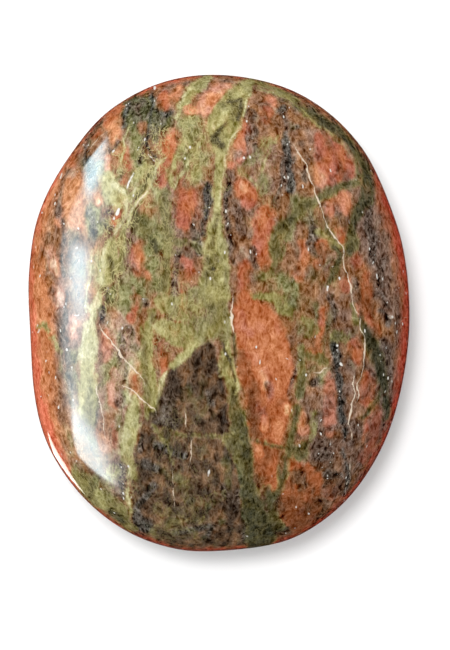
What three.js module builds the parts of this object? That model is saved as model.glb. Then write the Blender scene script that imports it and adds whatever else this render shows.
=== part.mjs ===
// A polished unakite palm stone: one rounded pebble, lying flat on the small
// flat spot ground on its underside. Millimetres, +Z up, +Y along the stone.

import * as THREE from "three";

// Driving dimensions
const LENGTH = 65;
const WIDTH = 52;
const HEIGHT = 22;
const FLAT_SPOT_DEPTH = 0.35;

// Roundness: 2 is an ellipse, and more is closer to a rectangle
const OUTLINE_POWER = 2.2;
const PROFILE_POWER = 2.35;

// Where the tumbled outline leaves that curve. Each swell is centred on a
// direction in degrees, counted from +X towards +Y, and fades out at its spread.
const SWELLS = [
  { direction: 1, spread: 27, height: 0.2 },
  { direction: 36, spread: 15, height: -0.23 },
  { direction: 95, spread: 20, height: 0.23 },
  { direction: 131, spread: 15, height: -0.24 },
  { direction: 153, spread: 14, height: 0.23 },
  { direction: 191, spread: 29, height: -0.72 },
  { direction: 211, spread: 50, height: 0.53 },
  { direction: 275, spread: 16, height: -0.34 },
];

// The swells belong to the rim: this power fades them out towards the middle
const SWELL_FADE = 3;

// Facets
const SIDES = 72;
const PROFILE_STEPS = 30;

// The full round form, before the flat spot is ground off its underside
const HALF_HEIGHT = (HEIGHT + FLAT_SPOT_DEPTH) / 2;
const DEGREE = Math.PI / 180;

// The shorter way round from one direction to another, in degrees.
function turnBetween(a, b) {
  return Math.abs(THREE.MathUtils.euclideanModulo(a - b + 180, 360) - 180);
}

// How far a swell moves the outline in a direction.
function swellAt(swell, direction) {
  const share = turnBetween(direction, swell.direction) / swell.spread;
  return share < 1 ? swell.height * Math.cos((share * Math.PI) / 2) ** 2 : 0;
}

// The distance from the middle to the surface, as seen from above, where share
// is the part of the way out to the rim.
function surfaceRadius(angle, share) {
  const across = Math.abs(Math.cos(angle)) / (WIDTH / 2);
  const along = Math.abs(Math.sin(angle)) / (LENGTH / 2);
  const smooth = (across ** OUTLINE_POWER + along ** OUTLINE_POWER) ** (-1 / OUTLINE_POWER);
  const swell = SWELLS.reduce((sum, one) => sum + swellAt(one, angle / DEGREE), 0);
  return share * (smooth + swell * share ** SWELL_FADE);
}

// A point of the profile: x is the share of the outline's radius, y the height
// above the widest level. The turn goes from -90 degrees, below, to 90, on top.
function profilePoint(turn) {
  const share = Math.cos(turn) ** (2 / PROFILE_POWER);
  const height = HALF_HEIGHT * Math.abs(Math.sin(turn)) ** (2 / PROFILE_POWER);
  return new THREE.Vector2(share, Math.sign(turn) * height);
}

// The profile from the middle of the flat spot, round the rim, to the crest.
function profile() {
  const flatLevel = -HALF_HEIGHT + FLAT_SPOT_DEPTH;
  const flatTurn = -Math.asin((-flatLevel / HALF_HEIGHT) ** (PROFILE_POWER / 2));
  const points = [new THREE.Vector2(0, flatLevel)];
  for (let step = 0; step < PROFILE_STEPS; step += 1) {
    points.push(profilePoint(THREE.MathUtils.lerp(flatTurn, Math.PI / 2, step / PROFILE_STEPS)));
  }
  points.push(new THREE.Vector2(0, HALF_HEIGHT));
  return points;
}

// Turns the profile into a round form of radius 1, then spreads it to the outline.
function stoneGeometry() {
  const geometry = new THREE.LatheGeometry(profile(), SIDES).rotateX(Math.PI / 2);
  const position = geometry.getAttribute("position");
  for (let i = 0; i < position.count; i += 1) {
    const x = position.getX(i);
    const y = position.getY(i);
    const angle = Math.atan2(y, x);
    const radius = surfaceRadius(angle, Math.hypot(x, y));
    position.setXY(i, radius * Math.cos(angle), radius * Math.sin(angle));
  }
  geometry.center();
  geometry.computeBoundingBox();
  geometry.translate(0, 0, -geometry.boundingBox.min.z);
  geometry.computeVertexNormals();
  return geometry;
}

const polishedUnakite = new THREE.MeshStandardMaterial({
  color: new THREE.Color(0.56, 0.38, 0.24),
  roughness: 0.14,
  metalness: 0,
});

const stone = new THREE.Mesh(stoneGeometry(), polishedUnakite);
stone.name = "stone";

const palmStone = new THREE.Group();
palmStone.add(stone);

export default palmStone;
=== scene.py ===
"""The looks of the unakite palm stone: a fine pebble mesh in the place of the frame's
solid, its minerals as one procedural polished material, and a plain studio round it.

Sizes are in millimetres, in the frame's own axes, until a mesh is made of them. Those of
the studio are in metres."""

import math

import bpy
import numpy as np
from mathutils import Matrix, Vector


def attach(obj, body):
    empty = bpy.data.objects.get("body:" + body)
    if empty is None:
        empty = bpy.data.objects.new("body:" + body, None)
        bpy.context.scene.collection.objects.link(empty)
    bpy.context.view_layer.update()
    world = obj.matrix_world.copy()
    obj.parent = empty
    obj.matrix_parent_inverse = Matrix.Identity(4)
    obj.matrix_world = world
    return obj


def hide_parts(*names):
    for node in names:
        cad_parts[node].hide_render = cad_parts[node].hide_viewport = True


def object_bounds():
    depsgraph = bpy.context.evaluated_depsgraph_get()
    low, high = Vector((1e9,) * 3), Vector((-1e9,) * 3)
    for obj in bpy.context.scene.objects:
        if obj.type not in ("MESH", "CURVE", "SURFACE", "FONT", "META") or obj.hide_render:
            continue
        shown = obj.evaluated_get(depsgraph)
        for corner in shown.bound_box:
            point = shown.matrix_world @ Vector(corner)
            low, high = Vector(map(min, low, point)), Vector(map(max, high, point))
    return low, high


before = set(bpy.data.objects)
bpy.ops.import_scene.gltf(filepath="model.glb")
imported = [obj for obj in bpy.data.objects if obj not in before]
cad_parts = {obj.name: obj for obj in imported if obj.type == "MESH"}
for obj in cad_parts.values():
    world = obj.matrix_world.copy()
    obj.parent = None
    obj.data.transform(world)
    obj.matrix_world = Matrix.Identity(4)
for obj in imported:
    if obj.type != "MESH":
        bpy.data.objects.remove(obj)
cad_low, cad_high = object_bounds()

MM = 0.001
PER_METRE = 1000

# The pebble's form, as the solid has it
LENGTH = 65
WIDTH = 52
FLAT_SPOT_DEPTH = 0.35
OUTLINE_POWER = 2.2
PROFILE_POWER = 2.35
SWELL_FADE = 3
SWELLS = [  # direction and spread in degrees, and how far it moves the outline
    (1, 27, 0.2),
    (36, 15, -0.23),
    (95, 20, 0.23),
    (131, 15, -0.24),
    (153, 14, 0.23),
    (191, 29, -0.72),
    (211, 50, 0.53),
    (275, 16, -0.34),
]

# How many steps the profile is worked out in, down to the flat spot and across it
PROFILE_STEPS = 4000
FLAT_STEPS = 200

# The fine mesh: how far apart its points lie on the crest's side and on the underside, and
# over what length below the rim the one spacing becomes the other
TOP_SPACING = 0.215
UNDER_SPACING = 0.46
SPACING_CHANGE = 6

# The polish: how far hand work on the wheel has dipped the surface, over what length, and
# between which heights above the floor the dips begin, so that the flat spot stays flat
POLISH_DIP = 0.035
POLISH_LENGTH = 11
POLISH_START = (0.2, 3)

# How much of its half of the map for baking the top or the underside fills
MAP_FILL = 0.94

# A marking's cover is how deep a place lies inside it. It is less than 0 outside, where it
# is followed as far as REACH. WHOLE is so much cover that no noise breaks it up
REACH = 2.0
WHOLE = 9.0

# A stroke's tone ends as softly as this share of its half width, and at most this many mm
TONE_BLEND = 0.7

# How far outside and inside its edge a stroke of the ground or the blush fades, and a thread
GENTLE_FADE = (-1.3, 0.8)
THREAD_FADE = (-1.2, 1.0)

# A vein runs down through the stone at a slant: how far it moves for each mm of depth
VEIN_LEAN = (0.35, -0.2)

# The drawn places waver: by how much on top, and how much more for each mm below the rim.
# Small waves go on top of that, of this length and height, and smaller ones for hairlines
DRIFT = (0.12, 0.28)
DRIFT_LENGTH = 9
WAVER = (2.2, 0.1)
FINE_WAVER = (1.6, 0.05)

# Between these depths, patterns of chance take the place of the drawn ones. Each has its
# waves' length, their height and their mean, and the bands of mica are stretched along y
SINK = (1, 9)
DEEP_FELDSPAR = (9, 1.3, -0.55)
DEEP_TONE = (6, 0.25, 0.55)
DEEP_MICA = (6, 0.9, -0.95)
MICA_STRETCH = (1, 0.35, 1)

# How much narrower the rind is far below the rim, and between which depths it becomes so
RIND_LOSS = 2.5
RIND_FADE = (3, 8)

# Each stroke below is (tone, hold, points), and its points are x, y and half width, over and
# over. Hold is the most that a stroke covers: near 0, only some grains take its colour

# Feldspar patches. Tone 0 is rust brown, 0.5 orange, 0.8 salmon and 1 pale pink
FELDSPAR = [
    # the granular orange field right of the middle
    (0.52, WHOLE, [3.2,2,1, 4.2,0.2,2.2, 5.2,-2,3, 6,-5,3.5]),
    (0.42, WHOLE, [6.2,-6.6,3.4, 6.5,-8,3.6, 6.8,-11,2.8, 6.8,-14,2.4, 6.7,-16.4,2.2]),
    (0.36, WHOLE, [6.7,-17.2,1.8, 6.5,-18.8,1.8, 6.3,-20.3,1.5, 6.6,-21.6,1.2, 7.1,-23.4,0.6]),
    (0.62, WHOLE, [4,-1.6,0.8, 4.7,-3.3,1.2, 5.6,-5.4,1.1, 5.8,-8,0.9]),
    (0.64, WHOLE, [7,-2.8,0.8, 7.4,-4.6,1, 7.6,-6.6,0.7]),
    (0.6, WHOLE, [8.9,-5.4,0.6, 8.8,-7.8,0.9, 8.2,-10.4,0.7]),
    (0.28, WHOLE, [3,-5.6,0.5, 3.6,-8.5,0.9, 4.4,-10.7,0.9, 4.9,-12.8,0.9, 4.9,-15.8,0.8]),
    (0.12, WHOLE, [4.2,-10.6,0.3, 4.5,-12.6,0.5, 4.5,-15.6,0.4]),
    (0.8, 0.2, [5.6,-8,0.2, 6.3,-9,0.4, 6,-10.2,0.3]),
    (0.76, WHOLE, [6.1,-14.1,0.4, 6.1,-15.3,0.5]),
    (0.7, WHOLE, [7.9,-14.8,0.6, 8,-16.4,0.7]),
    (0.84, WHOLE, [9,-12.3,0.35, 9.1,-13.3,0.3]),
    (0.74, WHOLE, [5.2,-18,0.45, 5.5,-19,0.4]),
    # the rust strip and the orange columns above it
    (0.4, 0.4, [2.7,2.4,0.4, 3.4,4.4,0.8, 3.5,6.4,0.7]),
    (0.56, WHOLE, [6.1,13.7,0.9, 6.3,12.6,1.5, 5.9,11,1.2]),
    (0.46, WHOLE, [5.8,10,1.1, 5.7,9,1.1, 5.9,7.2,0.8]),
    (0.44, WHOLE, [2.6,17.4,0.5, 3.4,16.6,1, 4,15.2,1]),
    (0.84, WHOLE, [2.9,17.4,0.3, 3.4,16.5,0.45, 3.9,16.9,0.2]),
    (0.42, WHOLE, [4.7,16.3,0.4, 4.8,15,0.4]),
    # the red patch at the upper right and what hangs below it
    (0.44, 0.5, [13.6,23.6,0.8, 14.6,22,1.7, 15.2,20,2.3, 15,18.6,1.6]),
    (0.5, 0.4, [17.2,20.4,0.8, 17.4,18.9,0.8]),
    (0.32, 0.3, [17.4,19,0.4, 16.6,18.4,0.4, 14.9,23,0.4]),
    (0.8, WHOLE, [13.2,19.3,0.4, 13.7,18,0.7, 13.9,17.3,0.5]),
    (0.68, WHOLE, [16.6,15.8,0.6, 16.7,14.5,0.8, 17,13.3,0.4]),
    (0.6, 0.1, [14.7,15,0.4, 14.9,13.6,0.5]),
    (0.5, 0.5, [16.4,10.9,0.5, 16.6,9.9,0.5]),
    # the salmon and orange patches of the top end
    (0.82, WHOLE, [-0.4,30.3,0.9, -1.2,28.8,1.2, -2,27.2,0.9]),
    (0.74, WHOLE, [-4.4,27.5,0.4, -3.9,27.1,0.5, -3.1,26.9,0.4]),
    (0.8, 0.2, [0.6,30.7,0.5, 1.6,30.5,0.4]),
    (0.52, WHOLE, [-7.4,29.8,0.7, -7.4,28.6,0.8, -7.2,27.5,0.5]),
    (0.78, WHOLE, [-6.2,29.4,0.6, -5.5,29.8,0.4, -5.3,30.5,0.3]),
    (0.62, 0.5, [6.3,28.8,0.5, 7.1,28.3,0.4]),
    (0.4, 0.3, [6.3,27,0.7, 6.4,25.9,0.5]),
    (0.52, 0.5, [3.4,25.4,0.6, 3.3,24.1,0.6, 2.6,23.2,0.4]),
    (0.66, 0.5, [3,22.5,0.7, 3.9,21.3,0.5, 1.6,19.5,0.5]),
    # the drop and the column left of the main vein
    (0.72, WHOLE, [-6.2,24,0.7, -6.6,22.9,1.1]),
    (0.5, WHOLE, [-6.8,22,0.8, -6.9,21,0.7, -7.3,20,0.5, -7.9,18.9,0.5, -8.2,17.6,0.8]),
    (0.36, WHOLE, [-7,20.5,0.35, -8.3,17.4,0.35]),
    (0.45, WHOLE, [-4.7,18.1,0.3, -5.2,17,0.5, -4.6,15.7,1.3, -4.7,13.8,1.2, -4.8,12,0.9]),
    (0.56, 0.4, [-3.5,16.1,0.5, -2.9,13.2,0.5]),
    (0.5, 0.3, [-4.7,6.9,0.5, -3.9,5.8,0.8, -4.1,4.8,0.5]),
    (0.6, 0.3, [-5.2,2.2,0.6, -5.2,1.1,0.5]),
    (0.5, 0.1, [-5.9,-0.2,0.5, -5.9,-1.6,0.5]),
    (0.5, 0.4, [-8,-4.1,0.4, -7.8,-5.5,0.5, -7.6,-7,0.5, -7.4,-8,0.3]),
    # the left half
    (0.52, 0.1, [-10.7,9.2,0.3, -11,8.2,0.6, -10.9,6.6,0.9, -10.3,5.4,0.6, -9.3,4.6,0.4]),
    (0.74, 0.5, [-10.7,6.9,0.4, -10.6,6.1,0.5]),
    (0.44, 0.2, [-11,2.1,0.4, -10.7,1.5,0.3, -11.5,-0.8,0.5]),
    (0.54, 0.5, [-12.5,21.8,0.3, -12.4,20,0.5, -12.5,18.5,0.5, -12.9,17.5,0.5]),
    (0.5, WHOLE, [-12.9,13.8,0.25, -13.4,12.8,0.35, -14.1,11.8,0.2]),
    (0.84, 0.4, [-14.4,25.2,0.5, -13.9,24.4,0.7, -14.2,23.4,0.5]),
    (0.84, 0.3, [-10.3,25.2,0.5, -10.1,24.4,0.4]),
    (0.9, 0.4, [-14.9,20.6,0.4, -14.9,19.5,0.5]),
    (0.84, 0.2, [-18.9,18.3,0.4, -19.6,16,0.8, -19.4,13.6,1.2, -19,12,0.7]),
    (0.92, WHOLE, [-16.2,15.4,0.5, -16.2,14.8,0.5]),
    (0.96, 0.4, [-22.8,8.6,0.6, -22.4,7,0.5, -21.9,5,0.3]),
    (0.8, 0.2, [-20.2,17.5,0.5, -20.6,15.4,0.4, -21.6,12,0.4]),
    (0.42, WHOLE, [-13.6,28,0.5, -14.2,27.1,0.7, -15,26,0.4, -15.3,25.5,0.2]),
    (0.46, 0.5, [-16.1,24.5,0.3, -17,23.9,0.2]),
    (0.46, 0.6, [-18.9,22,0.3, -19.8,20.9,0.5, -20,19.9,0.5]),
    (1, 0.4, [-21.3,2.4,0.4, -21.4,1.2,0.5, -22,4.4,0.3]),
    (0.92, 0.5, [-19.6,-0.8,0.4, -19.4,-1.8,0.5, -19.7,-3,0.4]),
    (0.76, 0.2, [-15.3,-3,0.5, -15.1,-4.6,0.7, -15.4,-6.2,0.4]),
    (0.88, 0.1, [-13.9,-8.2,0.6, -13.5,-9.4,0.7, -12.6,-10,0.3]),
    (0.78, 0, [-14.1,-10.2,0.7, -14,-12,0.6]),
    (0.42, 0.4, [-11.3,-8.8,0.5, -11.3,-10,0.4]),
    (0.4, 0.2, [-14.4,-15,0.3, -14.2,-15.9,0.3, -14.2,-17.7,0.3]),
    (0.94, 0.2, [-15.9,-16.2,0.4, -15.4,-17.2,0.7, -15.2,-18.2,0.5]),
    # the columns of the right half
    (0.34, 0.4, [19.7,5,0.6, 19.8,3,0.9, 19.9,1,0.9, 20.4,-1,0.6, 21.2,-2.5,0.5]),
    (0.36, 0.4, [16.9,4.6,0.5, 17,3.2,0.5]),
    (0.32, 0.4, [18.2,7.3,0.8, 18.6,5.9,0.6]),
    (0.5, 0.6, [18.1,-4.2,0.5, 18.3,-5.6,0.7, 18.6,-6.8,0.3]),
    (0.38, 0.4, [20,-8.4,0.6, 20,-10,0.8, 19.9,-11.8,0.7]),
    (0.56, 0.3, [20.1,-14.4,0.5, 20.3,-15.6,0.6]),
    (0.28, 0.5, [21.5,-13,0.4, 21.3,-15,0.9, 20.6,-17.4,0.9, 19.6,-19.6,0.6]),
    (0.6, 0, [18.4,0.8,0.3, 18.9,0,0.2]),
    (0.58, 0.1, [14.8,-8.6,0.4, 15,-11,0.6, 14.8,-13.4,0.7, 14.9,-15.8,0.7]),
    (0.48, 0.2, [14,0.2,0.5, 13.2,-3.4,0.6, 13,-5.4,0.7]),
    (0.62, 0.1, [11,9.3,0.4, 11.4,8.2,0.4, 10.6,5.1,0.8]),
    (0.4, 0.2, [13.6,9.2,0.6, 13.9,7.6,0.7, 13.3,6.4,0.6]),
    (0.72, 0.1, [10.9,-13.4,0.5, 11.2,-15.6,0.7]),
    # rust at the lower right
    (0.3, 0.5, [9.4,-22.8,0.8, 9.6,-25,1.4]),
    (0.24, 0.7, [10.2,-26.3,1.8, 10.8,-28.2,1.6]),
    (0.34, 0.3, [12.4,-21.4,1, 12.9,-22.8,1, 12.4,-24.8,0.9]),
    (0.34, 0.3, [10.2,-20.4,0.7]),
    (0.22, 0.1, [15,-24,0.9]),
    (0.12, 0.2, [12.6,-26.5,1.1, 13,-28,0.8]),
    # rust and pink grains inside the dark wedge
    (0.58, 0, [-9.2,-17.4,0.4, -9,-18.7,0.4]),
    (0.3, 0.1, [-2.9,-13.2,0.4, -3,-14.4,0.6]),
    (0.45, 0.1, [-9.6,-22,0.3, -8.5,-21.7,0.4]),
    (0.34, 0.2, [-7.1,-26.8,0.5, -7.1,-28,0.6]),
    (0.36, 0.1, [-4,-27.4,0.5, 2.5,-25.4,0.3]),
    (0.24, 0.2, [-0.4,-28.8,0.5, 1,-28.8,0.4, 1.9,-28.2,0.7]),
    (0.26, 0, [1,-14.2,0.4, 0.4,-17.6,0.4, 0.2,-21,0.5, -1.4,-25.5,0.6]),
    (0.3, 0.1, [-3.5,-19.4,0.3, -3.6,-21.8,0.4, -2.9,-22.8,0.4]),
    (0.12, 0.2, [0.9,-31.2,0.7]),
]

# Dark mica bands. Tone 0 is blue black, 0.5 grey and 1 brown
MICA = [
    (0, 0.7, [-9,30.4,0.3, -9,28.6,0.35, -9.2,26.8,0.3, -9.3,24.6,0.35, -9.7,22.8,0.4, -9.3,21.4,0.3,
     -8.6,20.5,0.25]),
    (0.1, 0.5, [-12.2,28.5,0.4, -12.5,27.3,0.4, -12.8,26.2,0.3, -12.7,25.2,0.5]),
    (0.5, 0, [-11.4,29.4,0.8, -10.6,27.2,1.2, -10.8,25.8,0.6]),
    (0.9, 0.2, [-11.2,28,0.4, -10,23.8,0.2, -10.8,20.2,0.3]),
    (0.2, 0.3, [-8.4,27.3,0.3, -7.4,26.5,0.5, -6.2,27.1,0.25]),
    (0.5, 0, [-8,25.6,0.8, -8.8,22.5,0.4]),
    (0.7, 0.5, [-15.9,26.8,0.2, -16.8,25.6,0.45, -17.4,24.6,0.3]),
    (0.4, 0.3, [-17.9,24,0.2, -18.1,22.9,0.3, -18.2,21.8,0.2, -18.2,20,0.15]),
    (0.8, 0.2, [-15,24.2,0.2, -14.9,22.8,0.25, -14.4,22,0.2, -13.5,23,0.15]),
    (0.9, 0.3, [-13.4,18.8,0.4, -13.2,17.9,0.25]),
    (0.2, 0.3, [-17.5,20.6,0.4, -17.1,18.8,0.6, -16.8,17,0.5]),
    # the dashed columns of the left shoulder
    (0.9, 0.3, [-20.5,19,0.35, -21.2,18.2,0.2, -21.4,17,0.25, -22,15.6,0.35, -21.8,14.4,0.45,
     -21.6,13.3,0.35]),
    (0.5, 0.2, [-21,12.6,0.2, -21,11,0.25, -21,9.4,0.25, -21,7,0.15, -21,5,0.12]),
    (0.5, 0.2, [-20.6,1.8,0.12, -20.7,0.4,0.2, -20.7,-0.6,0.25, -21,-2.6,0.35, -20.9,-3.8,0.35,
     -20.4,-5.8,0.4, -20,-8,0.5, -19.7,-10.6,0.3, -19.6,-12.6,0.2]),
    (0.6, 0, [-21.3,-1,0.4, -21.3,-4,0.4]),
    (1, 0, [-23.2,10.4,0.3, -23,9.2,0.3]),
    (1, 0.3, [-22.9,-6.4,0.15, -22.9,-8.6,0.2, -22.9,-10,0.3, -22.4,-11.8,0.4, -21.9,-13.2,0.5,
     -21.6,-14.6,0.3]),
    (0.5, 0.3, [-16.8,-10,0.3, -16.6,-12.2,0.4, -16.6,-14,0.6]),
    (0.5, 0.1, [-17.3,14.4,0.25, -17,12.6,0.35, -16.8,10.6,0.4, -17,8.8,0.25]),
    (0.8, 0.3, [-14.6,13.5,0.4, -15.5,12.6,0.2, -15.1,11.3,0.3, -14.4,11.2,0.25]),
    # along both sides of the main vein
    (0, 0.8, [-1.6,17.4,0.4, -1.5,15.8,0.75, -1.4,14.2,0.6, -1.9,12,0.4, -2.1,10.4,0.4]),
    (0.3, 0.2, [-2.3,9,0.4, -2.6,7.6,0.4]),
    (0.7, 0, [-2.6,13.8,0.4, -3.3,12.2,0.25, -3.2,10.4,0.4]),
    (0.6, 0.3, [1.2,18,0.3, 1.3,16.4,0.4, 1.1,14.2,0.35, 1.3,12.2,0.3, 1.5,10,0.35, 1.5,8,0.35,
     1.8,6.6,0.15]),
    (0.9, 0, [2.3,14.8,0.4, 2.6,13,0.5, 2.7,11.6,0.4]),
    (0.8, 0.1, [4.7,24.6,0.3, 4.8,23,0.35, 4.8,21.6,0.35]),
    (0.8, 0, [3.4,20.6,0.4, 4.2,18.6,0.4, 4.2,26.8,0.5]),
    # the long band of the upper right
    (0.4, 0.2, [8.5,27.3,0.5, 9,24.6,0.3, 9.1,23.5,0.3]),
    (0, 0.9, [8.9,23,0.5, 9.2,21,0.75, 9.3,19.6,0.65, 9.5,18.3,0.75, 9.6,16.6,0.7]),
    (0.5, 0.1, [8.7,20.8,0.4, 8.6,17,0.5, 7.8,15,0.6, 8,14,0.3]),
    (0.9, 0.1, [11,22.8,0.3, 11.6,21.4,0.3, 11.4,18,0.4]),
    (0.5, 0.1, [10.6,24.9,0.3]),
    (0.5, 0.1, [12.2,12.6,0.3, 12.6,10.6,0.6, 12.2,9.2,0.5, 12.8,8,0.3]),
    (0.9, 0.1, [4.4,8.6,0.4, 4.8,6.4,0.5]),
    (0.5, 0, [3.9,10.3,0.4]),
    # the column inside the right edge
    (0.3, 0.4, [20.7,15,0.15, 20.4,13.7,0.2, 20.6,12,0.2]),
    (0.7, 0.3, [20,13.4,0.5, 20.2,11.6,0.6, 20.7,9.6,0.7, 20.6,7,0.4]),
    (0.8, 0.2, [21.9,7,0.6, 21.7,5,0.4, 21.9,3.4,0.4]),
    (0.8, 0.4, [21.6,2.6,0.45, 22.2,1.8,0.4, 22.7,0.8,0.4]),
    (0.6, 0.4, [21.7,0.2,0.35, 22.4,-0.4,0.3, 22.6,-1.6,0.35]),
    (0.9, 0.4, [22.1,-4,0.6, 22.4,-5.6,0.8, 22.9,-8,0.6, 23.1,-10,0.4]),
    (1, 0.4, [24.2,3,0.4, 24.1,0.8,0.4, 24,-1.6,0.5, 24.3,-4.4,0.4]),
    (0.8, 0.3, [22.4,-11.6,0.3, 22.6,-13.4,0.4, 22.2,-15.4,0.35, 21.6,-17.4,0.3]),
    (1, 0.3, [18.4,4.6,0.35, 18.5,3.2,0.35, 18.8,1.8,0.2]),
    # the band of the lower right
    (0.6, 0.2, [14.8,2.2,0.5, 15.3,1.2,0.4, 15.6,-0.4,0.25, 15.6,-1.2,0.2]),
    (0, 0.9, [15.5,-4.4,0.5, 15.9,-5.8,0.7, 15.8,-7.8,0.6, 16.1,-9.4,0.75, 16.2,-11,0.6,
     16.3,-12.4,0.7, 16.6,-14,0.7, 16.9,-15.4,0.6, 16.8,-16.8,0.45]),
    (0.1, 0.6, [16.8,-18.2,0.4, 17.1,-20.4,0.4, 17.2,-22.4,0.4, 17,-24.4,0.3]),
    (0.5, 0.2, [15,-21.6,0.7, 16.4,-21.9,0.5]),
    (0.8, 0.1, [13,-17.6,0.6, 14.6,-17.4,0.6, 13.2,-19.2,0.5, 15,-19,0.5]),
    (0.6, 0.2, [12.7,-9.4,0.5, 12.9,-8.8,0.3]),
    (0.9, 0.2, [10.9,-4.2,0.4, 10.9,-5.4,0.2, 9.5,-9.8,0.25, 9.6,-11.4,0.2]),
    (0.9, 0.1, [13.4,-13.6,0.3, 13.3,-15.8,0.3, 18.6,-14.6,0.3, 18.2,-15.6,0.3]),
    (0.9, -0.1, [6.6,-9.6,0.3, 6.7,-10.9,0.2]),
    # small dark clots
    (0.5, 0.5, [-15.7,0.5,0.35, -15.7,-0.6,0.5, -15.5,-1.6,0.25]),
    (0.9, 0.1, [-15.1,3.2,0.4, -15,1.6,0.4]),
    (0.7, 0.4, [-10,1.6,0.3, -9.8,0.9,0.35]),
    (0.9, 0, [-11.4,-4.6,0.6, -12.5,-2.4,0.6, -13.3,-12.2,0.4]),
    (0.5, 0.2, [-12.8,-12.4,0.25]),
    (0.6, 0.1, [-5.6,8,0.4, -5.7,6.6,0.35, -6.4,-0.9,0.5]),
    (0.6, 0.3, [-13.2,-20.6,0.5, -13.3,-22,0.6, -13,-23.8,0.5, -12.9,-24.8,0.3]),
    # black clots in the dark wedge
    (0.3, 0.15, [-8.4,-14.4,0.3, -7.2,-14.2,0.8, -6,-14.8,0.7]),
    (0.4, 0.05, [-6,-9.2,0.7, -6.6,-11.4,0.9, -7,-13,0.8]),
    (0.1, 0.2, [-8.4,-17.6,0.5, -4.8,-19,0.6]),
    (0.6, 0.2, [-10.5,-16.4,0.4, -10.6,-18,0.4]),
    (0.2, 0.2, [-9.8,-20.3,0.8, -8.4,-20.9,0.5]),
    (0.2, 0.2, [-8.8,-23.2,0.5, -11.2,-26.8,0.5, -10.2,-28.6,1]),
    (0.5, 0.1, [2.4,-24.2,0.4, 1.8,-26.2,0.5, 0.4,-23.2,0.3]),
    (0.2, 0.2, [-6.1,-29.7,0.4, -1.4,-28.8,0.4, -1.4,-30,0.4]),
    (0.3, 0.05, [-1.4,-10.6,0.3, -1,-12.2,0.3]),
    (0.2, 0.4, [4.45,-28.2,0.25, 4.4,-28.8,0.15]),
    (0.5, 0.1, [3.5,-28.6,0.4, 3.5,-30.6,0.3]),
]

# The dark brown wedge between the two lower veins
WEDGE = [
    (0, WHOLE, [-1.3,-3.5,0.2, -1.5,-5,1.1, -2.5,-7,2.5, -3.3,-10,4.1, -3.5,-12.4,4.6, -4.4,-15.6,5.8,
     -4.9,-19,6.4, -4.6,-23,7.1, -4.3,-28,7.4, -4,-32,7.4]),
]

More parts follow.
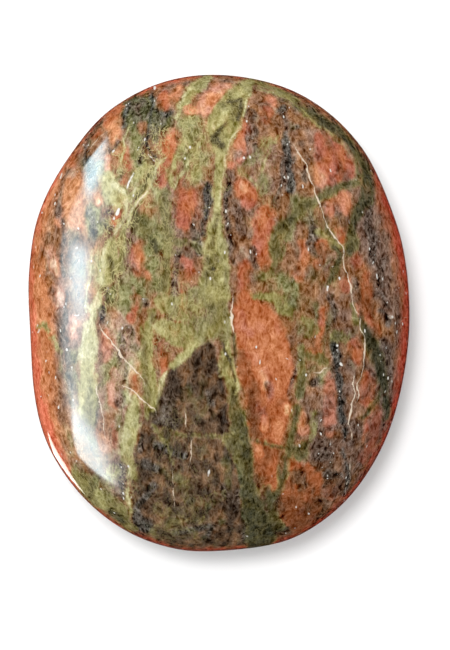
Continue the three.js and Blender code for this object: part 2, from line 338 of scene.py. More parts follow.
# Green epidote. Tone 0 is dark olive, 0.5 moss, 0.8 yellow green and 1 pale cream green
EPIDOTE = [
    # the mossy ground in the middle
    (0.5, 0.2, [-7.8,1.5,0.9, -5.4,0.4,1.6, -3,1,2.2, -0.4,0.6,1.8]),
    (0.52, 0.3, [-7.6,-1.8,1, -5,-3,1.6, -2.6,-2.4,1.8, -0.6,-1.6,1.6]),
    (0.58, 0.4, [-8.8,0.2,0.4, -9.3,-2,0.6, -9.6,-4.6,0.7, -9.9,-6.8,0.8, -9.3,-8.8,1, -9,-10.8,0.9,
     -8.7,-12.4,0.5]),
    (0.44, 0.3, [-10.1,-2,0.3, -9.8,-8,0.3, -9.6,-13.4,0.5]),
    (0.74, 0.5, [-8.4,-1.9,0.4, -7.6,-2.6,0.4]),
    (0.7, WHOLE, [-3,-4.2,0.35, -4,-5,0.5, -5.1,-6.1,0.7, -6.2,-7,0.5]),
    (0.84, 0.6, [-7,-7.9,0.15, -7.6,-8.9,0.3, -7.9,-10.4,0.15, -8.1,-12,0.12]),
    # the left vein, from the top edge to the left shoulder
    (0.62, WHOLE, [-1.6,32,0.6, -2.6,31,0.8, -3.7,29.9,0.8, -4.3,28.8,0.6, -5,27.8,0.4, -5.6,26.4,0.3]),
    (0.8, 0.5, [-3.9,30.4,0.2, -4.8,29,0.2, -5.5,27.4,0.25, -5.9,26,0.2]),
    (0.55, 0.1, [-4.4,25.6,0.6, -3.4,26,0.5]),
    (0.62, 0.4, [-4.3,24.2,0.3, -5.1,22.4,0.35, -5.7,20.8,0.35, -6.1,19.4,0.3]),
    (0.6, 0.2, [-6.9,19,0.4, -6.6,17.8,0.4, -6.5,16.8,0.2]),
    (0.76, 0.3, [-14.8,18.4,0.7, -14.6,16.8,0.9, -13.9,15.2,0.8, -13.2,14,0.3]),
    (0.97, 0.8, [-14.2,17.2,0.2, -13.5,16.7,0.4, -12.8,16.2,0.35, -12.3,15.2,0.25]),
    (0.7, 0.4, [-12.9,15.4,0.5, -12,15.3,0.7, -11.2,16,0.5, -10.2,16.8,0.5]),
    (0.9, 0.8, [-12,17.8,0.06, -11.4,16.6,0.1, -11.6,15.2,0.12, -12,14.2,0.16]),
    (0.6, 0.1, [-11,18.2,0.7, -9.6,19.6,0.5, -9.4,17,0.3]),
    (0.8, 0.4, [-11.7,25.6,0.04, -12.3,24.2,0.1, -12.8,22.4,0.1, -13.2,20,0.12, -13.6,18,0.1]),
    (0.64, 0.2, [2,20.3,0.05, 3.6,18.6,0.1, 4.8,17.4,0.1, 5.4,15.8,0.06]),
    (0.3, 0.2, [-10,12.2,0.9, -10.8,11.4,0.6, -9.3,11,0.6]),
    (0.18, 0.6, [-11.3,13.9,0.2, -11.1,13.3,0.5, -11.2,12,0.3, -11.3,10.6,0.2]),
    (0.16, 0.5, [-12.9,10.8,0.3, -13,9.8,0.3, -9.7,18.5,0.35]),
    (0.64, 0.5, [-14.4,9.6,0.7, -14.3,8,1, -14.2,6.4,1.1, -14.7,5,0.7, -15.4,4,0.4]),
    (0.5, 0.3, [-12.6,11.6,0.4, -12.9,8,0.5, -13,6,0.5, -12.4,9.4,0.3]),
    (0.3, 0.3, [-14.4,7.6,0.2, -13.9,4.9,0.4]),
    (0.88, WHOLE, [-7.3,20.9,0.12, -8.3,19.8,0.15, -9,18.4,0.12, -9.5,16.6,0.2, -10.5,15.2,0.2,
     -11.5,14,0.25, -11.9,12.8,0.25, -12.1,11.6,0.15]),
    (0.84, WHOLE, [-12.5,15,0.25, -12.3,13.4,0.3, -13,12,0.2, -13.8,10.8,0.25, -14.9,9,0.2,
     -15.5,6.8,0.2, -15.8,4.6,0.3, -16,2.8,0.4, -16.5,1.2,0.6]),
    (0.46, 0.5, [-17.3,-9,0.9, -17.6,-11.6,1.3, -17.5,-14,1.1]),
    (0.86, WHOLE, [-16.9,0.6,0.6, -17,-0.8,0.6, -17.4,-2.6,0.95, -17.5,-5,1.2, -17.7,-7.2,1]),
    (0.72, WHOLE, [-17.8,-7.6,0.9, -18.1,-9,0.75, -18.5,-11,0.5, -18.6,-13,0.4]),
    (0.92, 0.5, [-17.9,0.2,0.15, -17.8,2.4,0.12, -17.4,4.8,0.1, -17.1,6.8,0.12, -17,8.4,0.08]),
    (0.6, 0.1, [-16.7,-8.6,0.4, -17.4,-12.2,0.7]),
    # the olive band between the two veins
    (0.38, 0.4, [-7.4,16,0.6, -7.4,14,0.8, -7.2,11.6,0.8, -7,9.2,0.7, -7,7,0.5, -7.1,5,0.7, -7.6,3,0.8]),
    (0.5, 0.5, [-7,9.4,0.5, -6.9,7.6,0.4]),
    (0.1, 0.4, [-8.9,9.4,0.5, -8.4,8,0.4]),
    (0.34, 0.3, [-9.6,10.6,0.4, -8.2,11.2,0.5, -6,9.6,0.5, -4.8,9.4,0.4]),
    (0.2, 0.2, [-3.8,9.2,0.3, -2.9,8.8,0.4, -2.2,8,0.4]),
    (0.48, 0.1, [-3.6,23.6,1, -2.6,22.4,1.2, -3,20.6,1, -3,18.8,0.7]),
    (0.84, 0.6, [-4,20.1,0.12, -4.8,18.8,0.2, -5.7,17.6,0.2, -6.2,16.6,0.12]),
    # the lower left vein and the corner below it
    (0.72, WHOLE, [-11.1,-11,0.3, -11.3,-12,0.6, -11.5,-13.4,0.9, -11.8,-15,1.1, -12.1,-16.8,1,
     -12.5,-18.6,0.9]),
    (0.8, 0.6, [-11.5,-12.4,0.4, -11.6,-13.8,0.5, -12.3,-15.4,0.5, -12.8,-17,0.3]),
    (0.52, 0.3, [-12.6,-19.4,0.7, -11.6,-20.4,0.4, -11.6,-22,0.4]),
    (0.6, 0.1, [-14.2,-21,0.8, -14.5,-22.8,0.7]),
    (0.82, 0.6, [-12,-20.6,0.2, -12.1,-22.6,0.18, -12.3,-24.4,0.14, -12.1,-26.4,0.16, -12,-28.8,0.18]),
    (0.5, 0.4, [-19.4,-20.6,0.3, -19,-22.2,0.7, -17.8,-24,0.9, -16.3,-25,1.2, -15.4,-26,0.7]),
    (0.66, 0.5, [-17.2,-23.8,0.5, -16.1,-24.4,0.5, -15.7,-26,0.3]),
    (0.24, 0.3, [-18.2,-21.8,0.5, -17.3,-22.6,0.4, -17.4,-25,0.2]),
    (0.4, 0.3, [-14.6,-25.6,0.7, -13.4,-26.8,1, -12.4,-28.6,0.7, -11.4,-29.2,0.4]),
    (0.05, 0.4, [-14.8,-26.8,0.4, -13.8,-27.4,0.3, -12.8,-28.4,0.2]),
    # the main vein, from the top edge down to the bottom
    (0.54, WHOLE, [4.4,32.3,0.5, 4.2,31.4,0.6, 3.3,30.2,1.2, 2.4,29,1.6, 1.7,27.8,1.8, 0.9,26.4,2.1,
     0.4,25,2.2]),
    (0.6, WHOLE, [0.4,25,2.2, 0.3,23.8,1.8, 0.4,22.6,1.2, 0.4,21.2,0.8, 0.2,19.8,0.7, 0,18.4,0.7,
     -0.05,16.4,0.6, -0.1,15,0.5, -0.15,13.8,0.5, -0.2,12.4,0.75, -0.3,11,1.05, -0.4,9.4,1.35,
     -0.4,7.6,1.65, -0.4,5.6,1.9, -0.5,4,2, -0.6,2,2.1]),
    (0.42, 0.3, [-1.6,6.6,0.6, -1.4,5,0.6, -0.4,7.2,0.4]),
    (0.4, 0.5, [2.4,28,0.55, 2.2,27,0.65, 1.8,26.2,0.4]),
    (0.1, 0.6, [1.2,28.3,0.25, 3,28.4,0.3, 2.5,25.85,0.25]),
    (0.14, 0.5, [0.7,25.3,0.25, -0.9,23.2,0.3, -0.2,23,0.45, 0.3,22.5,0.5]),
    (0.72, 0.6, [3.9,31,0.3, 3.2,30.2,0.5, 2.6,29.4,0.5, 1.9,28.9,0.4]),
    (0.74, 0.6, [1.4,27.6,0.2, 0.2,25.9,0.5, -0.6,25.2,0.5]),
    (0.8, 0.6, [0.1,16,0.2, 0,14.6,0.2, -0.5,12.6,0.2, -0.1,11.2,0.5, 0,9.8,0.4, -1.2,9.6,0.3,
     0.3,8,0.4]),
    (0.4, 0.5, [-1,8.4,0.4, -0.1,13.3,0.2]),
    (0.84, 0.4, [0.2,4.4,0.3]),
    (0.02, 0.6, [-0.9,5.8,0.15, -0.5,5.9,0.12]),
    (0.92, WHOLE, [4.1,29.6,0.04, 3.7,28,0.07, 3.2,26.2,0.08, 2.6,24.6,0.06, 1.8,23.3,0.1,
     1.35,22,0.06, 1.05,20.4,0.08, 0.65,18.8,0.07, 0.5,17.4,0.08, 0.4,16,0.05, 0.3,14.6,0.03]),
    (0.44, 0.4, [0,0,1.6, 0.6,-2,1.1, 0.9,-4,0.6]),
    (0.5, WHOLE, [0.9,-4.4,0.55, 1,-6,0.85, 1.1,-7.6,1, 1.5,-9,0.85, 1.8,-10.3,0.7]),
    (0.58, 0.5, [0.2,-7,0.3, 0.9,-8.4,0.3, 1.5,-9.6,0.2]),
    (0.2, 0.4, [1.9,-11,0.6, 2.1,-12.4,0.8, 2.3,-14,1, 2.4,-15.6,1.1]),
    (0.28, 0.3, [1.5,-17,0.9, 2.2,-17.8,1.2, 2.8,-19,1.1, 3.4,-20.4,0.9]),
    (0.44, 0.1, [1.1,-16.5,0.3, 1.9,-16.2,0.2]),
    (0.1, WHOLE, [3.6,-18.4,0.5, 3.9,-20.4,0.7, 3.9,-22.4,0.9, 4.1,-24.4,1.2, 4.6,-26.2,1.5]),
    (0.1, 0.6, [5,-27.4,1.6, 5.6,-29,1.9, 5.6,-30.6,1.8, 5.4,-32,1.6]),
    (0.02, 0.6, [1.9,-2.6,0.15, 2.1,-4.4,0.25, 2.2,-6,0.2, 2.3,-7.2,0.15]),
    (0.78, 0.5, [1.3,-3.6,0.15, 1.1,-4.6,0.15]),
    (0.76, 0.5, [2.3,-8.8,0.1, 2.5,-10.2,0.12, 2.1,-11,0.1]),
    (0.05, 0.4, [1.3,-6.4,0.15, 2.1,-9.2,0.12, 0.5,-3.8,0.15]),
    (0, 0.4, [3.6,-15.4,0.2, 3.8,-17,0.2, 4.1,-18,0.2, 3.5,-19,0.25]),
    # the band along the upper right edge, and the grey green one that it runs into
    (0.4, 0.4, [5,31.2,0.4, 7.2,30.4,0.4, 9,29.4,0.4, 10.6,28.4,0.4]),
    (0.14, WHOLE, [10.2,28,0.3, 12,27.1,0.5, 13.6,26.1,0.7, 15.2,25.1,0.75, 16.6,24.1,0.7,
     17.8,22.6,0.6, 18.9,21,0.6, 19.7,19.6,0.5]),
    (0.04, 0.6, [12.7,27.4,0.3, 15.2,24.8,0.3, 16.4,23.9,0.3, 19.3,21.2,0.2, 20.1,19.8,0.25,
     20.5,18.6,0.2]),
    (0.08, WHOLE, [19.8,19,0.6, 20,17.4,0.95, 20,16,1, 19.7,15,0.9]),
    (0.1, WHOLE, [19,14.4,0.85, 18.5,13,0.8, 18.1,11.8,0.75, 17.8,10.4,0.7]),
    (0.2, 0.5, [17.9,9.4,0.9, 17.6,8.2,0.7]),
    (0.54, 0.3, [5.2,30.4,0.15, 7.2,29.8,0.15, 9,28.9,0.15, 10.6,27.8,0.12, 12,26.8,0.12, 13,25.8,0.1,
     14.8,24.4,0.08, 16.2,23,0.08, 17.6,21.6,0.08]),
    (0.18, 0.1, [18.4,21.6,0.5, 18.8,20,0.4, 19,18.4,0.4]),
    # olive wisps of the right half
    (0.3, 0.4, [18.8,17.6,0.4, 17.4,17.4,0.5, 16,16.8,0.6, 14.4,15.8,0.6, 13.4,15.3,0.5]),
    (0.28, 0.7, [12.8,14.7,0.6, 11.6,14.3,0.8, 10.6,13.4,0.7, 9.6,12.4,0.7, 8.5,11.5,0.9, 7.8,10.2,1,
     7.7,8.6,0.9, 7.7,7.4,0.6]),
    (0.3, 0.2, [9,11.4,0.7, 8.8,10,0.6, 7.4,6.2,0.5, 6.8,5.2,0.4, 5.6,4.8,0.5]),
    (0.54, 0.5, [4.8,2.2,0.5, 6.4,2.1,0.6, 7.8,1.6,0.7, 8.6,0.5,0.7, 9.6,0.2,0.5, 9.8,-0.8,0.3]),
    (0.34, 0.1, [11.6,-1,0.4, 12.6,-2.2,0.8, 11.6,-3,0.3]),
    (0.14, WHOLE, [14.2,12.4,0.3, 14.4,11,0.5, 14.9,10.2,0.6, 15.4,9,0.6, 16.1,8,0.5, 16.2,7,0.45,
     15.5,5.6,0.6, 15.1,4.6,0.6, 14.4,3.8,0.3]),
    (0.44, 0.3, [13.4,10.8,0.3, 16.6,8.6,0.2]),
    (0.36, 0.2, [5.7,18.4,0.2, 5.8,17.6,0.5, 6.2,16.6,0.6, 5.6,16,0.3]),
    (0.46, 0.1, [6.4,23,0.8, 5.6,21.6,0.5, 3.2,18.8,0.5]),
    (0.62, 0.5, [7.7,23.8,0.08, 6.9,21.8,0.1, 6.2,20.4,0.1, 5.6,18.8,0.1]),
    (0.3, 0.5, [11,-4.6,0.4, 11.1,-7.6,0.6, 10.9,-9.4,0.6, 10.5,-11,0.5]),
    (0.22, 0.7, [10.4,-12.6,0.5, 10.1,-14.4,0.55, 9.8,-16,0.5, 9.5,-17.6,0.5, 9.4,-19,0.5]),
    (0.18, 0.7, [10,-18.4,0.6, 11,-18.8,1, 11.4,-17.7,0.6]),
    (0.14, 0.8, [9,-19.4,0.35, 8.9,-20.6,0.35, 8.6,-22.2,0.4]),
    (0.1, 0.2, [8.3,-20.8,0.3, 8.2,-23.4,0.4, 7,-24.6,0.6, 6.4,-23.4,0.4]),
    (0.1, 0.2, [6.6,-26,1, 7,-27.8,1.1, 7.8,-29,0.8]),
    (0.16, 0.5, [4.3,-16.9,0.14, 5.8,-17.3,0.16, 7.4,-17.9,0.2, 9.2,-18.2,0.16]),
    (0.46, 0.1, [12.5,-13.4,0.4, 12.5,-15.4,0.4, 12.3,-17,0.4]),
    (0.24, 0.2, [13.4,-6,0.6, 14.2,-6.6,0.5, 11.6,-5.4,0.4]),
    (0.28, 0.3, [15.6,-3,0.5, 16.4,-3.2,0.7, 17.2,-3.8,0.4]),
    # the dark green vein of the right edge and its branch
    (0, WHOLE, [19,-0.8,0.3, 19.6,-2.2,0.5, 20.3,-3.8,0.8, 20.8,-5,0.95, 21.2,-6.4,0.9, 21.6,-7.6,0.8,
     22.1,-9,0.7, 22.4,-10.4,0.6]),
    (0.02, 0.6, [22.6,-11.6,0.5, 22.8,-13,0.4, 22.6,-14.2,0.3]),
    (0.1, 0.6, [22,-10.6,0.35, 21.2,-12,0.35, 20.3,-13.2,0.3, 19.2,-14,0.3]),
    (0.4, 0.3, [17.8,1,0.25, 18.3,0,0.3, 18.6,-1.4,0.35]),
    (0.54, 0.5, [-24.3,-1.7,0.2, -23.5,-1.7,0.45, -23.1,-2,0.35]),
    (0.6, 0.2, [-22.4,-3,0.2, -21.8,-4.2,0.2, -21.2,-5.2,0.2]),
    # olive clouds in the dark wedge
    (0.16, -0.1, [-7,-16,0.6, -5.8,-16.6,0.6, -6.6,-17.8,0.4]),
    (0.22, 0, [-8.6,-15.6,0.05, -6,-16.2,0.12, -3,-16.6,0.08, 0,-16.6,0.12, 1.6,-16.4,0.15]),
    (0.4, 0.1, [-9,-14.6,0.05, -7.8,-16,0.12, -6.8,-18,0.12, -6.2,-20,0.05]),
    (0.1, -0.1, [-4.4,-23.2,0.6, -3.6,-25.6,0.7, 0.4,-24.4,0.5]),
    (0.3, -0.1, [-4.6,-26.6,0.6, -3,-27.4,0.7, -8.4,-26.4,0.6]),
    (0.18, -0.1, [-6,-28.6,0.8, -8.4,-29.6,0.8, -3.6,-29.8,0.6]),
]

# Cream hairlines, in two sets so that no two lines of a set come close to each other
HAIRLINES_A = [
    [10.1,22.5,0.04, 10.6,21.6,0.09, 11,21,0.06, 11.6,20.1,0.1, 11.9,19.1,0.1, 12.2,18,0.08,
     12.7,17.1,0.05, 13,16,0.06, 13.3,15.2,0.11, 13.6,14.2,0.08, 14.1,12.6,0.08, 14.5,11.6,0.09,
     15,10.8,0.08, 15.6,10.1,0.06, 16.2,9.4,0.06, 16.6,8.8,0.08, 16.75,8,0.08, 16.6,7.2,0.11,
     16.8,6,0.09, 17.3,4.8,0.1, 17.7,3.6,0.1, 17.7,2.6,0.12, 17.9,1.4,0.07, 18.2,0.5,0.05,
     18.8,-0.5,0.05, 19,-2,0.06, 19.5,-3.2,0.07, 19.6,-4.4,0.11, 19.5,-5.6,0.07, 19.4,-7,0.08,
     19,-8.6,0.06, 18.6,-9.7,0.06, 18.8,-11,0.07, 18.5,-12,0.04],
    [-15.9,-1.8,0.08, -15.5,-2.6,0.12, -14.9,-3.2,0.1, -14.2,-4,0.1, -13.6,-4.8,0.12, -13.1,-5.6,0.12,
     -12.6,-6.3,0.1, -11.7,-7,0.09, -11.2,-7.7,0.12, -10.4,-8.7,0.09, -10,-9.4,0.06],
    [-9.8,16,0.05, -10.6,15,0.08, -11.5,14,0.06],
    [-16.4,-9.8,0.05, -16.1,-11.6,0.07, -15.7,-13,0.08, -15.5,-14.6,0.1, -15.4,-15.8,0.08,
     -15.2,-16.9,0.05],
    [-4.5,-13.2,0.02, -4.35,-14,0.06, -4.4,-15,0.02],
    [-6.6,-19.4,0, -6.3,-21,0.04, -6.1,-23,0.02, -6,-25.6,0.05, -5.9,-27.2,0.03],
    [-14.2,10.3,0.05, -13.3,11.4,0.07, -12.7,12.5,0.06],
]
HAIRLINES_B = [
    [-12.6,-9.9,0.1, -11.9,-10.2,0.13, -11.2,-10.7,0.09, -10.7,-11.1,0.11, -10.2,-11.6,0.12,
     -9.7,-12.1,0.09, -9.1,-12.6,0.08, -8.6,-12.9,0.1, -8.4,-13.4,0.07],
    [1.9,2.2,0.05, 1.85,1,0.09, 1.65,0.2,0.1, 1.75,-0.4,0.2, 1.7,-1.2,0.14, 1.9,-2.3,0.09],
    [-3.6,-16.9,0.02, -3.65,-18.2,0.05, -3.8,-19.6,0.05, -4,-20.8,0.02],
    [12.9,-8,0.06, 13.5,-7.9,0.08, 14.1,-7.4,0.04, 14.5,-7.4,0.02],
    [18.1,-8.1,0.05, 18,-9.2,0.1, 18.2,-10.4,0.09, 18.2,-11.2,0.12, 17.9,-11.9,0.07, 17.8,-12.6,0.12,
     17.65,-13.4,0.16, 17.5,-14.2,0.1, 17.6,-15.4,0.04, 17.9,-16.3,0.05, 17.85,-17.2,0.03],
    [17.7,-19.6,0.04, 17.6,-21,0.06, 17.7,-22.2,0.04],
    [17.4,-22.8,0.03, 17.1,-24.4,0.04],
    [22.8,-0.4,0, 23.6,-0.7,0.01, 25.4,-0.6,-0.01],
    [-17.6,21.9,0.02, -16.9,22.9,0.05, -16,23.8,0.04, -15.2,24.4,0.01],
]

# Painted highlights: small glints where pits and mica flakes catch the light, painted into the colour as
# pale specks
PAINTED_GLINTS = [
    [-8.75,30.7,0.14, -8.72,30.4,0.14], [-8.7,28.7,0.09, -8.72,28.4,0.06], [-8.4,29,0.07],
    [-9.4,25.8,0.08], [-8.7,25.8,0.08], [-8.8,25.2,0.06],
    [-11.4,18.7,0.06, -12,17.6,0.1, -12.3,16.7,0.07],
    [-13.4,13.9,0.14, -13.6,13.3,0.22, -13.7,13.1,0.12], [-14,12.8,0.12, -14.1,12.5,0.14],
    [-10.7,22.3,0.05, -10.9,21.9,0.08], [-9.5,21.3,0.03, -8.6,20.3,0.07], [-1.25,14.05,0.12],
    [-1.4,13.2,0.06], [1.25,13.65,0.1], [0.95,13,0.06], [1.6,10.4,0.08], [1.2,9.3,0.07],
    [1.5,14.9,0.07], [8.5,15.8,0.1], [4.5,23.4,0.09], [4.9,24,0.07], [7.7,29.4,0.06], [9.5,27.7,0.1],
    [12.1,25.8,0.06], [8.6,27,0.06], [12.3,22.1,0.09, 12.2,21.8,0.06], [10.6,21.7,0.07],
    [11.2,17.1,0.11, 11.3,16.7,0.06], [1.65,19.5,0.07], [9.8,16.2,0.08], [14.3,14.2,0.09],
    [13.5,6.4,0.1], [15.2,6.2,0.1], [16.1,4.7,0.13, 16.2,4.4,0.06], [14.55,3.5,0.12, 14.5,3,0.07],
    [20.9,7.8,0.07], [20.75,6.85,0.09, 20.65,6.6,0.06], [21.2,5.2,0.07, 21.3,4.6,0.06],
    [21.2,3.2,0.06], [15.85,-4.4,0.16], [15.85,-5,0.13], [16.3,-6.8,0.16, 16.5,-7.1,0.09],
    [-2.65,5.45,0.11], [-3.6,4.2,0.09], [-4.5,9.8,0.09], [-6.3,1.3,0.07, -6.2,1,0.06], [2.4,-7.2,0.09],
    [8.9,-6.1,0.05, 9.3,-6.2,0.02], [10.6,-6.8,0.07],
    [-1.3,-21,0.08, -1.35,-21.4,0.13, -1.4,-21.9,0.05], [8.65,-24.3,0.1], [10.3,-29.1,0.1],
    [9.05,-29.8,0.08], [13.9,-20.8,0.08], [13.4,-18.9,0.08], [15,-20.1,0.07], [-24.45,-2.6,0.1],
    [-25.3,-2.6,0.07], [-24,13.6,0.1], [-24.1,-11.3,0.08], [-21.3,18.9,0.06, -21.5,18.2,0.07],
    [-6.8,-16.1,0.07], [-8.9,-24.3,0.06], [-3.5,-10.2,0.06], [-6.9,-12.6,0.06],
    [-19.4,-0.35,0.06, -18.8,-0.35,0.08], [-14.15,-14.6,0.07],
]

# The ground between the patches: (tone, moss, points). Tone runs from 0, dark brown, over
# 0.5, brown, to 1, pale pink, and moss is how green the ground is
GROUND = [
    (0.48, 0.15, [5,29,3, 9,26,3.5]),
    (0.54, 0.15, [11,22,3]),
    (0.26, 0.3, [9,29.6,1.2, 13,28,1.4, 17,25,1.6, 20.2,21,1.8, 21.4,17.6,1.6]),
    (0.26, 0, [22.6,15.4,1.2, 24,11,1.2]),
    (0.46, 0.1, [3,25.4,1.5]),
    (0.58, 0, [3.2,22,1.5, 3.5,20,2.5, 5,16,2]),
    (0.52, 0.3, [6,22.4,1.6, 7.4,16.6,1.2]),
    (0.5, 0.15, [7.6,20,1.2, 10.6,19,1.6, 7,15,1.4]),
    (0.34, 0, [3,13.4,1, 2.6,11.4,0.8]),
    (0.44, 0.45, [11,14,2, 12.4,10,2.4, 11.6,6,2.2]),
    (0.52, 0.1, [10.6,10.4,1, 10.8,7,1.2, 9.8,4.6,1]),
    (0.44, 0.55, [5.8,5,1, 8.4,3.6,1.6, 11,1,1.6]),
    (0.46, 0.35, [12,-1,2, 12.6,-6,2]),
    (0.54, 0.35, [12.4,-8,1.8, 12,-11,1.6]),
    (0.32, 0.55, [15.2,-1,1.2, 15.2,-3.6,1.2]),
    (0.5, 0.15, [11.4,-12.6,1.2, 11.2,-15,1]),
    (0.36, 0.1, [13.6,-13,1.4, 14,-17,2]),
    (0.26, 0.15, [14,-20,1.8, 12,-23,2, 14.6,-24,2, 13,-27,2]),
    (0.44, 0.05, [17,1,0.9, 16.8,-1.2,0.9]),
    (0.36, 0.3, [17.4,-2.6,1, 17,-8,1]),
    (0.42, 0, [17.4,-10,0.9, 17.2,-17,0.9]),
    (0.3, 0, [19,-16.6,1.2, 19,-20,1.4, 17.6,-23,1.2, 16,-25.4,1.2]),
    (0.3, 0, [21.4,-8,1.4, 22,-5,1.6, 22.6,-12,1]),
    (0.36, 0.25, [18.5,15,1.2, 18,11,1.2, 17.6,8,1]),
    (0.4, 0, [20.2,13,1.2, 21,9,1.4, 21.8,5,1.4, 22.4,1.6,1.2]),
    (0.52, 0, [14,24,2, 16,20,3]),
    (0.44, 0.1, [18.2,18.6,1, 18,16.4,1]),
    (0.42, 0, [15.2,14,1.2, 15.6,12,1]),
    (0.34, 0.9, [-11.6,29,2.2, -10.6,26,2.2, -8.2,26,1.4]),
    (0.66, 0.05, [-14.6,25.4,1.2, -14.6,22.4,1.2]),
    (0.3, 0.4, [-16,26,1, -18,23.6,0.8]),
    (0.36, 0.35, [-17.4,21,1, -16.8,19,1.6, -16.8,17.2,1]),
    (0.74, 0.15, [-20,18,1.2, -19.8,14,1.6, -19.6,11.6,1]),
    (0.64, 0.8, [-16.9,14,0.8, -17,11,1, -15.6,11.6,0.8]),
    (0.26, 0.3, [-19,9.4,1.2, -19.2,5,1.2, -19.2,2,1.2]),
    (0.64, 0.7, [-9.8,23,1.4, -11,20,1.8, -11,17.4,1.4]),
    (0.46, 0.5, [-9.6,24.6,0.8, -9.6,22,0.8]),
    (0.6, 0.6, [-3.6,25,1.6, -3,21.6,2, -3,19,1.6]),
    (0.66, 0.75, [-15,19,1, -14.4,16,1.4]),
    (0.62, 0.5, [-8.6,17,0.8, -9.4,14.6,1.2, -9,12.4,0.8]),
    (0.46, 0.85, [-10.2,11.6,1.2, -8.2,9.6,1.2, -9.6,8,0.8]),
    (0.36, 0.35, [-3,12,1.2, -3.6,9.6,1.2, -5.2,7.4,1.2]),
    (0.56, 0.6, [-9.2,6.4,1, -8.6,3.6,1, -12,4.4,1.2]),
    (0.54, 0.65, [-13.6,2.6,1.6, -12.4,0,1.6, -10.6,3,1.2]),
    (0.72, 0.3, [-13.6,-1,1.2, -12.8,-3.4,1.6, -11.4,-5,1.2]),
    (0.76, 0.65, [-16.4,8,0.8, -16.6,3.4,0.8]),
    (0.62, 0.45, [-14.6,-7,1.2, -14.8,-10.6,1.4, -14.2,-13.6,1.2]),
    (0.86, 0.5, [-11.8,-7.4,1.2, -12.2,-11.4,1]),
    (0.6, 0.35, [-14,-15.6,1, -14.4,-18.4,1.2]),
    (0.3, 0.3, [-18.2,-14.6,1.2, -17.4,-17.6,1.6, -16.2,-20.4,1.6]),
    (0.5, 0, [-21.6,4,0.8, -21.4,0,0.8, -21.6,-6,0.6, -21.2,-10,0.5]),
    (0.5, 0.6, [-20,-6,0.8, -19.6,-10,0.8, -19.4,-12.4,0.6]),
    (0.56, 0.2, [-21,-16,0.9, -20.6,-19,0.9]),
    (0.42, 0.6, [-18.6,-22,1.4, -16,-24.6,1.8, -14,-27,1.8]),
    (0.34, 0.2, [-13.4,-20,0.8, -11.6,-21,0.8]),
    (0.18, 0.4, [8,-24.4,1.6, 8.4,-28,1.8, 8,-30.6,1.2]),
    (0.62, 0.3, [-20.4,-14,0.7, -20,-17,0.8, -19,-20,0.8]),
    (0.34, 0.05, [20.4,-11,1.2, 19.6,-2,1.2, 20,2,1.2]),
    (0.24, 0.5, [2.6,-14,1.2, 2.6,-18,1.4, 4,-27,1.6, 4,-31,1.6]),
    (0.4, 0, [1.4,18,0.8, 1.6,12,0.8, 1.8,7,0.6]),
    (0.54, 0.15, [-23,16,0.7, -23.4,12,0.7, -23.4,4,0.8]),
    (0.42, 0.1, [-22.8,-5,0.7, -22.6,-8,0.7, -22,-14,0.8]),
]

# How far the rock leans from orange, 0, to rose, 1
BLUSH = [
    (0.05, [6,1,2.5, 6,-8,3.5, 6.5,-20,3]),
    (0, [7.2,-3.4,0.8, 7.4,-6.4,0.8, 7.9,-15.6,0.6]),
    (0.4, [4.2,-1.6,0.6, 5.4,-5.6,0.6, 6.6,-8.6,0.6, 6,-14.8,0.5]),
    (0.6, [14,22.4,2, 15.6,19,2.5]),
    (0.9, [17.4,18.8,0.8]),
    (0.7, [-13.5,24.5,1.2, -15,19.5,1]),
    (0.7, [4,22,1.6, 8,19.6,1.6, 2.6,13.6,0.8]),
    (0.15, [-6.4,24,0.8, -6.8,21.6,0.7]),
    (0.45, [5,27.4,2, 5,24.6,1.6]),
    (0.2, [4.6,15.6,0.8]),
    (0.95, [-20,-1,1, -19.5,-4,0.8]),
    (0.85, [-21.6,4,0.7, -21.6,-6,0.7]),
    (0.6, [-13.4,-2,1.4]),
    (0.95, [-15.2,-3.4,0.8, -15,-5.4,1]),
    (0.85, [-14,-7.6,1.8, -14.6,-12,1.5]),
    (0.1, [-11.2,-8.8,0.7, -8,-5.6,0.8]),
    (0.05, [-19.5,16,1.2, -19.3,12.6,1.2]),
    (0.15, [-14.4,27,0.8, -11,7.6,1]),
    (0.95, [20,16,0.8, 19.9,12,1.2, 21,9,1.4, 22,5,1.2, 22.6,0,1]),
    (0.9, [22,-4.6,1.2, 22.6,-10,1.2, 22,-15.4,1.2]),
    (0.7, [16.8,-0.4,1, 17.4,-10,0.8, 17.6,-17,1]),
    (0.7, [12.6,-10,1.2, 14.6,-12,1.4, 14,-18,2]),
    (0.75, [20.6,-15,1, 19.4,-18.6,1.6]),
    (0.1, [19.4,5.4,0.8, 19.8,1,0.9, 20.8,-2,0.7, 18.3,-5.4,0.7]),
    (0.05, [9.6,-23.6,1.6, 10.6,-27.6,1.6, 12.8,-22,1]),
    (0.75, [-3.4,12,0.8, -4.4,6.4,1, -8.2,17.4,0.6]),
    (0.15, [7.2,5.8,1.2, 12.6,-3.4,1.4, 13.4,-6,1]),
    (0.8, [-13.2,-22,1, -11.4,28,0.5]),
]

